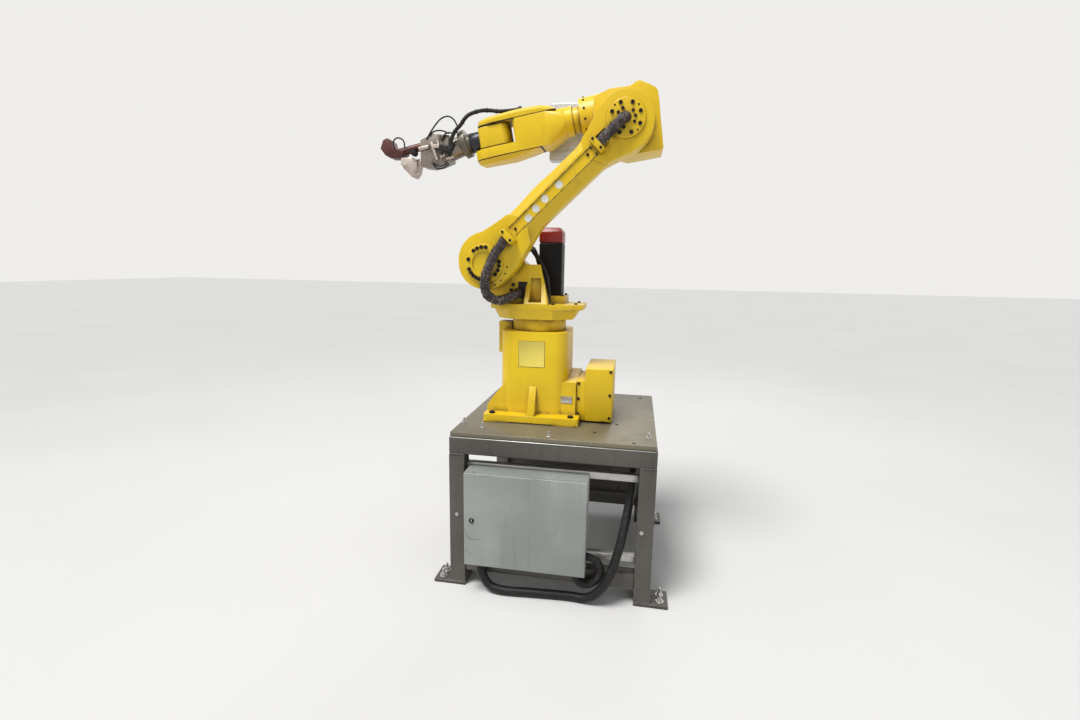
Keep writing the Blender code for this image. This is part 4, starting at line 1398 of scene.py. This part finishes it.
@dataclass
class LowerArm(SubAssembly):
    """The link from the second to the third axis with its sleeved hoses."""

    face: float = -0.180
    panel_depth: float = 0.004
    disc_face: float = -0.1893
    sleeve: float = 0.0205
    sleeve_lift: float = 0.0045
    sleeve_side: float = 0.0015

    def build(self) -> None:
        """Dress the link, its discs, clamps, stickers and sleeves."""
        for node, width, segments in (
            ("lower_arm_casting", 0.006, 4),
            ("j2_cover_disc", 0.0025, 3),
            ("j3_cover_disc", 0.0025, 3),
            ("lower_hose_clamp", 0.0015, 2),
            ("upper_hose_clamp", 0.0015, 2),
        ):
            self.rounded(
                node, Finish.ROBOT_YELLOW, Body.LOWER_ARM, "yellow_paint", width, segments
            )
        self.disc_screws()
        self.stickers()
        self.groove()
        self.sleeves()
        self.clamp_fittings()

    def clamp_fittings(self) -> None:
        """Screw the clamps and the panel down and add the upper clamp's walls."""
        on_arm = self.layout.on_arm
        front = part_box("lower_hose_clamp")[0].y - self.layout.site.y
        places = []
        for along in (0.150, 0.628):
            places += [on_arm(along, across, front) for across in (-0.0210, 0.0240)]
        self.screwed("hose_clamp_screws", (0.0050, 0.004), places, FRONT, Body.LOWER_ARM)
        panel = self.face + self.panel_depth
        places = [self.layout.at(x, panel, z) for x, z in ((-0.0726, 1.4527), (0.2066, 1.7287))]
        places += [on_arm(0.6085, across, panel) for across in (0.0170, -0.0155)]
        self.screwed("arm_panel_screws", (0.0055, 0.004), places, FRONT, Body.LOWER_ARM)
        walls = []
        half = 0.0013
        for across, last in ((0.0300, 0.690), (-0.0280, 0.668)):
            low = (0.6385, self.face - 0.024, across - half)
            wall = block("wall", low, (last, self.face + 0.001, across + half))
            wall.data.transform(self.layout.arm_matrix())
            walls.append(wall)
        piece = fused("upper_clamp_walls", walls)
        soften(piece, 0.0006, 1)
        self.finish(piece, Finish.ROBOT_YELLOW, Body.LOWER_ARM, "yellow_paint")

    def disc_screws(self) -> None:
        """Screw both discs down in the patterns of the real arm."""
        j2 = self.layout.j2
        j3 = self.layout.j3
        ring = (130, 114, 98, 82, 166, -159, -144, -131, -119, -107, 7, -8, -24, -41)
        self.ring("j2_disc_screws", j2, (0.0078, 0.0055), 0.0655, ring)
        ring = [22.5 + 45.0 * i for i in range(8)]
        self.ring("j3_outer_screws", j3, (0.0072, 0.0055), 0.0568, ring)
        ring = (148.0, 112.0, 44.0, -26.0, -100.0, 8.0)
        self.ring("j3_inner_screws", j3, (0.0058, 0.0045), 0.0350, ring)
        self.dial_marks()
        ring = (45.0, 134.0, 225.0, -45.0)
        self.ring("j3_dowel_pins", j3, (0.0034, 0.0016), 0.0626, ring)

    def ring(
        self,
        name: str,
        hub: Vector,
        size: tuple[float, float],
        radius: float,
        degrees: Sequence[float],
    ) -> None:
        """Drive screws into a disc, round its axis.

        Args:
            name: name of the piece.
            hub: the joint's centre.
            size: radius and height of a head.
            radius: radius of the screw circle.
            degrees: angle of each screw.
        """
        centre = Vector((hub.x, self.layout.site.y + self.disc_face, hub.z))
        places = on_circle(centre, radius, degrees)
        self.screwed(name, size, places, FRONT, Body.LOWER_ARM)

    def dial_marks(self) -> None:
        """Sink four small dark marks beside the lower disc."""
        j2 = self.layout.j2
        hub = Vector((j2.x, self.layout.site.y + self.face, j2.z))
        marks = []
        for spot in on_circle(hub, 0.0965, (-7.0, -24.0, -44.0, -62.0)):
            marks.append(rod("mark", spot - FRONT * 0.001, spot + FRONT * 0.0006, 0.0038, sides=10))
        piece = fused("j2_dial_marks", marks)
        soften(piece, 0.0003, 1)
        self.finish(piece, Finish.BLACK_SCREW, Body.LOWER_ARM, "dark_metal")

    def stickers(self) -> None:
        """Stick the four plain round dots on the link's panel."""
        dots = []
        for x, z in ((0.099, 1.621), (0.044, 1.568), (0.009, 1.531), (-0.020, 1.494)):
            seat = self.layout.at(x, self.face + self.panel_depth + 0.0001, z)
            dot = rod("dot", seat, seat + FRONT * 0.0007, 0.0150, sides=36)
            sunk(dot, end_face(FRONT), 0.0012, 0.0001)
            dots.append(dot)
        piece = fused("arm_round_stickers", dots)
        soften(piece, 0.0001, 1)
        self.finish(piece, Finish.STICKER, Body.LOWER_ARM, "enclosure_paint")

    def groove(self) -> None:
        """Draw the dark groove beside the panel."""
        for name, start, end in (
            ("arm_groove_long", (0.170, 0.0300), (0.6095, 0.0230)),
            ("arm_groove_low", (0.170, -0.0125), (0.6095, -0.0205)),
        ):
            first = self.layout.on_arm(*start, self.face)
            line = straight(first, self.layout.on_arm(*end, self.face), 40)
            groove = tube(name, line, 0.0013, lambda i: 0.7 + 0.3 * math.sin(i * 1.7))
            self.finish(groove, Finish.GASKET, Body.LOWER_ARM, "dark_metal")

    def sleeves(self) -> None:
        """Pull the wrinkled sleeves over the hoses at both ends."""
        on_arm = self.layout.on_arm
        at = self.layout.at
        ride = self.disc_face - self.sleeve - self.sleeve_lift
        side = self.sleeve_side
        route = [on_arm(along, side, ride) for along in (0.158, 0.150, 0.1385, 0.134)]
        route += [
            at(-0.1264, ride - 0.001, 1.3805),
            at(-0.1427, ride - 0.002, 1.3609),
            at(-0.1550, ride - 0.003, 1.3373),
            at(-0.1694, ride - 0.004, 1.3056),
            at(-0.1839, ride - 0.004, 1.2697),
            at(-0.1885, -0.2140, 1.2378),
            at(-0.1875, -0.2100, 1.2080),
            at(-0.1760, -0.1960, 1.1830),
            at(-0.1450, -0.1720, 1.1660),
            at(-0.1080, -0.1500, 1.1760),
            at(-0.0830, -0.1270, 1.1890),
            at(-0.0770, -0.1060, 1.1950),
            at(-0.0770, -0.0835, 1.1950),
        ]
        hose = tube("j2_leather_sleeve", flowing(route), self.sleeve, self.wrinkle)
        start = at(-0.155, ride, 1.3373)
        end = at(-0.1080, -0.1500, 1.1760)
        self.spanned(hose, Finish.LEATHER_SLEEVE, (Body.LOWER_ARM, Body.TURRET), start, end)
        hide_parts("j2_sleeved_hose")
        self.end_sleeve(ride)

    def end_sleeve(self, ride: float) -> None:
        """Lay the upper sleeve along the arm and turn its end into the disc.

        Args:
            ride: how far behind the first axis its centre line lies.
        """
        on_arm = self.layout.on_arm
        side = self.sleeve_side
        turn = self.sleeve + 0.0002
        reach = (self.layout.j3 - self.layout.j2).length
        first = reach - 0.1485
        last = reach - turn
        line = [on_arm(first + (last - first) * i / 28, side, ride) for i in range(29)]
        for step in range(1, 9):
            angle = math.radians(90.0 * step / 8)
            along = last + turn * math.sin(angle)
            line.append(on_arm(along, side, ride + turn * (1 - math.cos(angle))))
        line.append(line[-1] + Vector((0.0, 0.0033, 0.0)))
        hose = tube("j3_leather_sleeve", line, self.sleeve, self.wrinkle)
        self.finish(hose, Finish.LEATHER_SLEEVE, Body.LOWER_ARM, "hose_sleeve")
        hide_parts("j3_sleeved_hose")

    @staticmethod
    def wrinkle(index: int) -> float:
        """Return the sleeve's share of its radius at a point of its line."""
        return 0.955 + 0.055 * math.sin(index * 1.9) + 0.035 * math.sin(index * 0.7)


@dataclass
class Elbow(SubAssembly):
    """The elbow casting with its covers, motor and the grey side box."""

    neck_radius: float = 0.0780
    neck_screw_count: int = 12
    gap_radius: float = 0.0510
    gap_half: float = 0.0016

    def build(self) -> None:
        """Dress the elbow and what it carries."""
        for node, finish, slot, width, segments in (
            ("elbow_casting", Finish.ROBOT_YELLOW, "yellow_paint", 0.006, 3),
            ("elbow_top_cover", Finish.ROBOT_YELLOW, "yellow_paint", 0.002, 2),
            ("j4_neck_ring", Finish.ROBOT_YELLOW, "yellow_paint", 0.002, 2),
            ("j3_motor", Finish.MOTOR_BLACK, "motor_black", 0.003, 3),
            ("elbow_side_box", Finish.ZINC, "zinc_steel", 0.003, 2),
            ("elbow_box_bracket", Finish.ZINC, "zinc_steel", 0.002, 2),
        ):
            self.rounded(node, finish, Body.ELBOW, slot, width, segments)
        self.neck_screws()
        self.ring_gaps()

    def neck_screws(self) -> None:
        """Screw the neck's flange round the fourth axis."""
        centre = self.layout.on_fore(0.380, 0.0, 0.0)
        model = Screws(head=0.0042, height=0.004).model("neck_model")
        copies = []
        for index in range(self.neck_screw_count):
            angle = 2 * math.pi * (index + 0.5) / self.neck_screw_count
            out = self.layout.rise * math.cos(angle) - FRONT * math.sin(angle)
            turn = out.to_track_quat("Z", "Y").to_matrix().to_4x4()
            seat = centre + out * self.neck_radius
            copies.append(copied(model, Matrix.Translation(seat) @ turn))
        removed(model)
        piece = fused("neck_flange_screws", copies)
        self.finish(piece, Finish.BLACK_SCREW, Body.ELBOW, "dark_metal")

    def ring_gaps(self) -> None:
        """Show the dark gaps on both sides of the neck ring."""
        fore = self.layout.fore
        for name, back in (("neck_gap_front", 0.3282), ("neck_gap_back", 0.3598)):
            start = self.layout.on_fore(back - self.gap_half, 0, 0)
            end = self.layout.on_fore(back + self.gap_half, 0, 0)
            ring = rod(name, start, end, self.gap_radius, sides=48)
            for side in (fore, -fore):
                sunk(ring, end_face(side), 0.004, 0.0004)
            soften(ring, 0.0004, 1)
            self.finish(ring, Finish.GASKET, Body.ELBOW, "dark_metal")


@dataclass
class Forearm(SubAssembly):
    """The rolled forearm fork with its covers, the wrist and the tool's hose."""

    hose: float = 0.008
    hose_seat: float = 0.0900
    tie_half: float = 0.003
    tie_wall: float = 0.0012
    seal_grow: float = 1.008

    def build(self) -> None:
        """Dress the fork, the wrist and the hose."""
        self.seams()
        for node, body, width in (
            ("forearm_casting", Body.FOREARM, 0.005),
            ("forearm_upper_cover", Body.FOREARM, 0.005),
            ("forearm_lower_cover", Body.FOREARM, 0.007),
            ("wrist_housing", Body.WRIST, 0.006),
        ):
            self.rounded(node, Finish.ROBOT_YELLOW, body, "yellow_paint", width, 3)
        self.tool_hose()

    def seams(self) -> None:
        """Lay the dark seals under both covers."""
        on_fore = self.layout.on_fore
        for node, name, low, high in (
            ("forearm_upper_cover", "upper_cover_seal", 0.0462, 0.0486),
            ("forearm_lower_cover", "lower_cover_seal", -0.0856, -0.0832),
        ):
            slab = self.slab(node, name, on_fore(0, low, 0), on_fore(0, high, 0), self.seal_grow)
            self.finish(slab, Finish.GASKET, Body.FOREARM, "dark_metal")

    def tool_hose(self) -> None:
        """Lead the black hose over the wrist to the gripper in two stretches."""
        on_fore = self.layout.on_fore
        seat = on_fore(0.125, self.hose_seat, -0.010)
        route = [seat, on_fore(0.090, self.hose_seat, -0.012)]
        for right, y, up in (
            (0.0194, -0.030, 0.0970),
            (-0.0232, -0.030, 0.1017),
            (-0.0617, -0.045, 0.0974),
            (-0.1060, -0.045, 0.0855),
            (-0.1231, -0.055, 0.0679),
            (-0.1406, -0.055, 0.0449),
            (-0.1612, -0.055, 0.0243),
            (-0.1758, -0.055, 0.0038),
            (-0.1849, -0.055, -0.0225),
            (-0.1883, -0.055, -0.0487),
        ):
            route.append(self.layout.j5 + Vector((right, 0.0, up)))
            route[-1].y = self.layout.site.y + y
        line = flowing(route)
        split = 30
        rear = ((Body.FOREARM, Body.WRIST), line[10], line[split])
        front = ((Body.WRIST, Body.TOOL), line[split], line[-8])
        hose = tube("tool_hose_rear", line[: split + 1], self.hose)
        self.spanned(hose, Finish.BLACK_HOSE, *rear)
        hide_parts("tool_hose")
        hose = tube("tool_hose_front", line[split:], self.hose)
        self.spanned(hose, Finish.BLACK_HOSE, *front)
        end = on_fore(0.111, self.hose_seat, -0.0108)
        collar = rod("tool_hose_collar", seat, end, 0.0105, sides=20)
        soften(collar, 0.001, 2)
        self.finish(collar, Finish.BLACK_SCREW, Body.FOREARM, "dark_metal")
        for name, spots, span in (
            ("hose_ties_rear", (14, 20, 26), rear),
            ("hose_ties_front", (40, 50), front),
        ):
            ties = [self.tie(line[spot], line[spot + 1]) for spot in spots]
            self.spanned(fused(name, ties), Finish.BLACK_SCREW, *span)

    def tie(self, middle: Vector, ahead: Vector) -> bpy.types.Object:
        """Wrap one cable tie round the hose at a point of its line."""
        step = (ahead - middle).normalized() * self.tie_half
        tie = rod("tie", middle - step, middle + step, self.hose + self.tie_wall, sides=16)
        soften(tie, 0.0004, 1)
        return tie


@dataclass
class Gripper(SubAssembly):
    """The flange, the tilted adapter and the twin gripper with its air lines."""

    cables: int = 6
    cable_radius: float = 0.0042
    air_radius: float = 0.0032

    def build(self) -> None:
        """Dress the tool and add its fine pieces."""
        for node, finish, slot, width in (
            ("tool_flange", Finish.DARK_STEEL, "dark_metal", 0.002),
            ("gripper_adapter", Finish.PLATE_METAL, "dark_metal", 0.0015),
            ("gripper_hub", Finish.TOOL_METAL, "bare_metal", 0.003),
            ("upper_tool_arm", Finish.RED_METAL, "bare_metal", 0.003),
            ("lower_tool_arm", Finish.PALE_METAL, "bare_metal", 0.003),
        ):
            self.rounded(node, finish, Body.TOOL, slot, width, 2)
        self.air_lines()
        self.valves()

    def valves(self) -> None:
        """Set the small clamps, valves and the dark bundle on the hub's front."""
        at = self.layout.at
        bars = []
        for x0, z0, x1, z1, radius in (
            (-0.4690, 1.8150, -0.4430, 1.7420, 0.0085),
            (-0.4420, 1.8220, -0.4230, 1.7480, 0.0060),
            (-0.5250, 1.7900, -0.4800, 1.7980, 0.0095),
            (-0.4050, 1.7480, -0.3700, 1.7560, 0.0070),
        ):
            start = at(x0, -0.046, z0)
            bars.append(rod("bar", start, at(x1, -0.050, z1), radius, radius * 0.8, 14))
        bars.append(block("valve", at(-0.4600, -0.058, 1.7900), at(-0.4320, -0.036, 1.8060)))
        bars.append(block("valve", at(-0.4300, -0.056, 1.7550), at(-0.4080, -0.036, 1.7760)))
        piece = fused("gripper_front_valves", bars)
        soften(piece, 0.0012, 2)
        self.finish(piece, Finish.PALE_METAL, Body.TOOL, "bare_metal")
        cables = []
        for index in range(self.cables):
            drop = 0.006 * index
            sway = 0.004 * math.sin(2.3 * index)
            route = [
                at(-0.366 - drop * 0.4, -0.050, 1.812 - drop),
                at(-0.384 + sway, -0.061, 1.790 - drop),
                at(-0.402 - sway, -0.064, 1.778 + drop * 0.6),
                at(-0.418 + sway, -0.060, 1.800 - drop * 1.2),
                at(-0.436 - sway, -0.052, 1.788 + sway),
            ]
            cables.append(tube("cable", flowing(route), self.cable_radius))
        seat = at(-0.553, -0.046, 1.776)
        knuckle = rod("knuckle", seat, at(-0.553, -0.020, 1.776), 0.013, sides=20)
        soften(knuckle, 0.0015, 2)
        cables.append(knuckle)
        piece = fused("gripper_cable_bundle", cables)
        self.finish(piece, Finish.BLACK_HOSE, Body.TOOL, "hose_sleeve")

    def air_lines(self) -> None:
        """Loop the thin black air lines round the gripper."""
        at = self.layout.at
        big = ((-0.4928, 1.8270), (-0.4680, 1.8639), (-0.4471, 1.8896), (-0.4292, 1.9065))
        big += ((-0.4084, 1.9162), (-0.3878, 1.9156), (-0.3679, 1.9009), (-0.3564, 1.8794))
        middle = ((-0.4226, 1.8192), (-0.4107, 1.8428), (-0.3988, 1.8505))
        middle += ((-0.3782, 1.8500), (-0.3682, 1.8379))
        wide = ((-0.4760, 1.8414), (-0.4623, 1.8570), (-0.4401, 1.8621))
        wide += ((-0.4180, 1.8600), (-0.3918, 1.8494))
        small = ((-0.5976, 1.7986), (-0.6001, 1.8231), (-0.6134, 1.8368), (-0.6316, 1.8401))
        small += ((-0.6457, 1.8302), (-0.6494, 1.8160), (-0.6423, 1.7954))
        low = ((-0.4628, 1.7287), (-0.4541, 1.7152), (-0.4333, 1.7081))
        low += ((-0.4096, 1.7146), (-0.3916, 1.7277))
        under = ((-0.4628, 1.7316), (-0.4496, 1.7212), (-0.4295, 1.7189))
        under += ((-0.4094, 1.7247), (-0.3973, 1.7346))
        loops = [
            [at(x, depth, z) for x, z in run]
            for run, depth in (
                (big, -0.045),
                (middle, -0.050),
                (wide, -0.045),
                (small, -0.030),
                (low, -0.050),
                (under, -0.050),
            )
        ]
        lines = [tube("line", flowing(route, 8), self.air_radius) for route in loops]
        piece = fused("gripper_air_lines", lines)
        self.finish(piece, Finish.BLACK_HOSE, Body.TOOL, "hose_sleeve")


@dataclass
class Studio:
    """The floor, the lamps and the camera."""

    lens: float = 17.83
    eye: Point = (0.413, -2.317, 1.317)
    yaw: float = -9.99
    pitch: float = 10.18
    roll: float = -1.0
    sensor: float = 36.0
    sun_power: float = 2.5
    sun_spread: float = 22.0
    sun_aim: Point = (0.32, 0.42, -1.0)
    floor_size: float = 60.0
    floor_z: float = -0.0005
    fill_colour: Colour = (0.93, 0.96, 1.0)
    fill_strength: float = 0.30
    backdrop_colour: Colour = (0.86, 0.85, 0.83)

    def build(self, layout: Layout) -> None:
        """Set up the floor, the light and the camera."""
        self.floor()
        self.backdrop()
        self.lamps(layout)
        self.camera(layout)
        bpy.context.scene.view_settings.view_transform = "Standard"

    def floor(self) -> None:
        """Lay the plain pale floor."""
        bpy.ops.object.select_all(action="DESELECT")
        bpy.ops.mesh.primitive_plane_add(
            size=self.floor_size, location=(0.0, 0.0, self.floor_z)
        )
        ground = bpy.context.object
        ground.name = "studio_floor"
        graph = Graph("studio_floor")
        cloud = graph.band(graph.noise(0.8, 2.0), 0.3, 0.7)
        tone = graph.tint(cloud, (0.70, 0.69, 0.675), (0.72, 0.71, 0.695))
        graph.join(tone, graph.shader.inputs["Base Color"])
        graph.shader.inputs["Roughness"].default_value = 0.75
        ground.data.materials.append(graph.material)

    def backdrop(self) -> None:
        """Show a pale background and let a weaker, cooler one light the machine."""
        world = bpy.context.scene.world or bpy.data.worlds.new("studio_world")
        bpy.context.scene.world = world
        world.use_nodes = True
        tree = world.node_tree
        tree.nodes.clear()
        rays = tree.nodes.new("ShaderNodeLightPath").outputs
        seen = rays["Is Camera Ray"]
        for kind in ("Is Glossy Ray", "Is Transmission Ray"):
            either = tree.nodes.new("ShaderNodeMath")
            either.operation = "MAXIMUM"
            tree.links.new(seen, either.inputs[0])
            tree.links.new(rays[kind], either.inputs[1])
            seen = either.outputs[0]
        mix = tree.nodes.new("ShaderNodeMixShader")
        tree.links.new(seen, mix.inputs[0])
        for colour, strength, socket in (
            (self.fill_colour, self.fill_strength, mix.inputs[1]),
            (self.backdrop_colour, 1.0, mix.inputs[2]),
        ):
            light = tree.nodes.new("ShaderNodeBackground")
            light.inputs["Color"].default_value = (*colour, 1.0)
            light.inputs["Strength"].default_value = strength
            tree.links.new(light.outputs[0], socket)
        out = tree.nodes.new("ShaderNodeOutputWorld")
        tree.links.new(mix.outputs[0], out.inputs["Surface"])

    def lamps(self, layout: Layout) -> None:
        """Hang the four soft lamps and the wide sun."""
        for name, place, size, power in (
            ("lamp_over", (-0.5, -1.3, 4.4), 1.6, 34.0),
            ("lamp_left", (-3.4, -1.2, 3.2), 2.0, 13.0),
            ("lamp_right", (3.2, -2.6, 2.6), 2.0, 11.0),
            ("lamp_back", (0.6, 3.2, 3.6), 2.4, 24.0),
        ):
            data = bpy.data.lights.new(name, "AREA")
            data.energy = power
            data.size = size
            lamp = bpy.data.objects.new(name, data)
            bpy.context.scene.collection.objects.link(lamp)
            spot = layout.at(*place)
            lamp.location = spot
            aim = layout.at(0.0, 0.0, 1.1) - spot
            lamp.rotation_euler = aim.to_track_quat("-Z", "Y").to_euler()
        data = bpy.data.lights.new("soft_sun", "SUN")
        data.energy = self.sun_power
        data.angle = math.radians(self.sun_spread)
        sun = bpy.data.objects.new("soft_sun", data)
        bpy.context.scene.collection.objects.link(sun)
        sun.rotation_euler = Vector(self.sun_aim).to_track_quat("-Z", "Y").to_euler()

    def camera(self, layout: Layout) -> None:
        """Stand the camera where the photographer's lens was."""
        data = bpy.data.cameras.new("photo_camera")
        data.lens = self.lens
        data.sensor_width = self.sensor
        camera = bpy.data.objects.new("photo_camera", data)
        bpy.context.scene.collection.objects.link(camera)
        yaw = math.radians(self.yaw)
        pitch = math.radians(self.pitch)
        roll = math.radians(self.roll)
        ahead = Vector(
            (math.sin(yaw) * math.cos(pitch), math.cos(yaw) * math.cos(pitch), -math.sin(pitch))
        )
        right = Vector((math.cos(yaw), -math.sin(yaw), 0.0))
        down = ahead.cross(right)
        across = math.cos(roll) * right + math.sin(roll) * down
        below = -math.sin(roll) * right + math.cos(roll) * down
        turn = Matrix((across, -below, -ahead)).transposed()
        camera.matrix_world = Matrix.Translation(layout.at(*self.eye)) @ turn.to_4x4()
        bpy.context.scene.camera = camera


def main() -> None:
    """Load the frame, dress every sub-assembly in order and report it."""
    logging.basicConfig(level=logging.INFO, format="%(message)s")
    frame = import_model()
    layout = Layout.read(frame["joints"])
    paints = Paints()
    Studio().build(layout)
    for kind in (Enclosure, Stand, RobotBase, Turret, LowerArm, Elbow, Forearm, Gripper):
        part = kind(layout, paints, frame["nodes"])
        part.build()
        for name in part.pieces:
            LOG.info("%s: %s", kind.__name__, name)


if __name__ == "__main__":
    main()
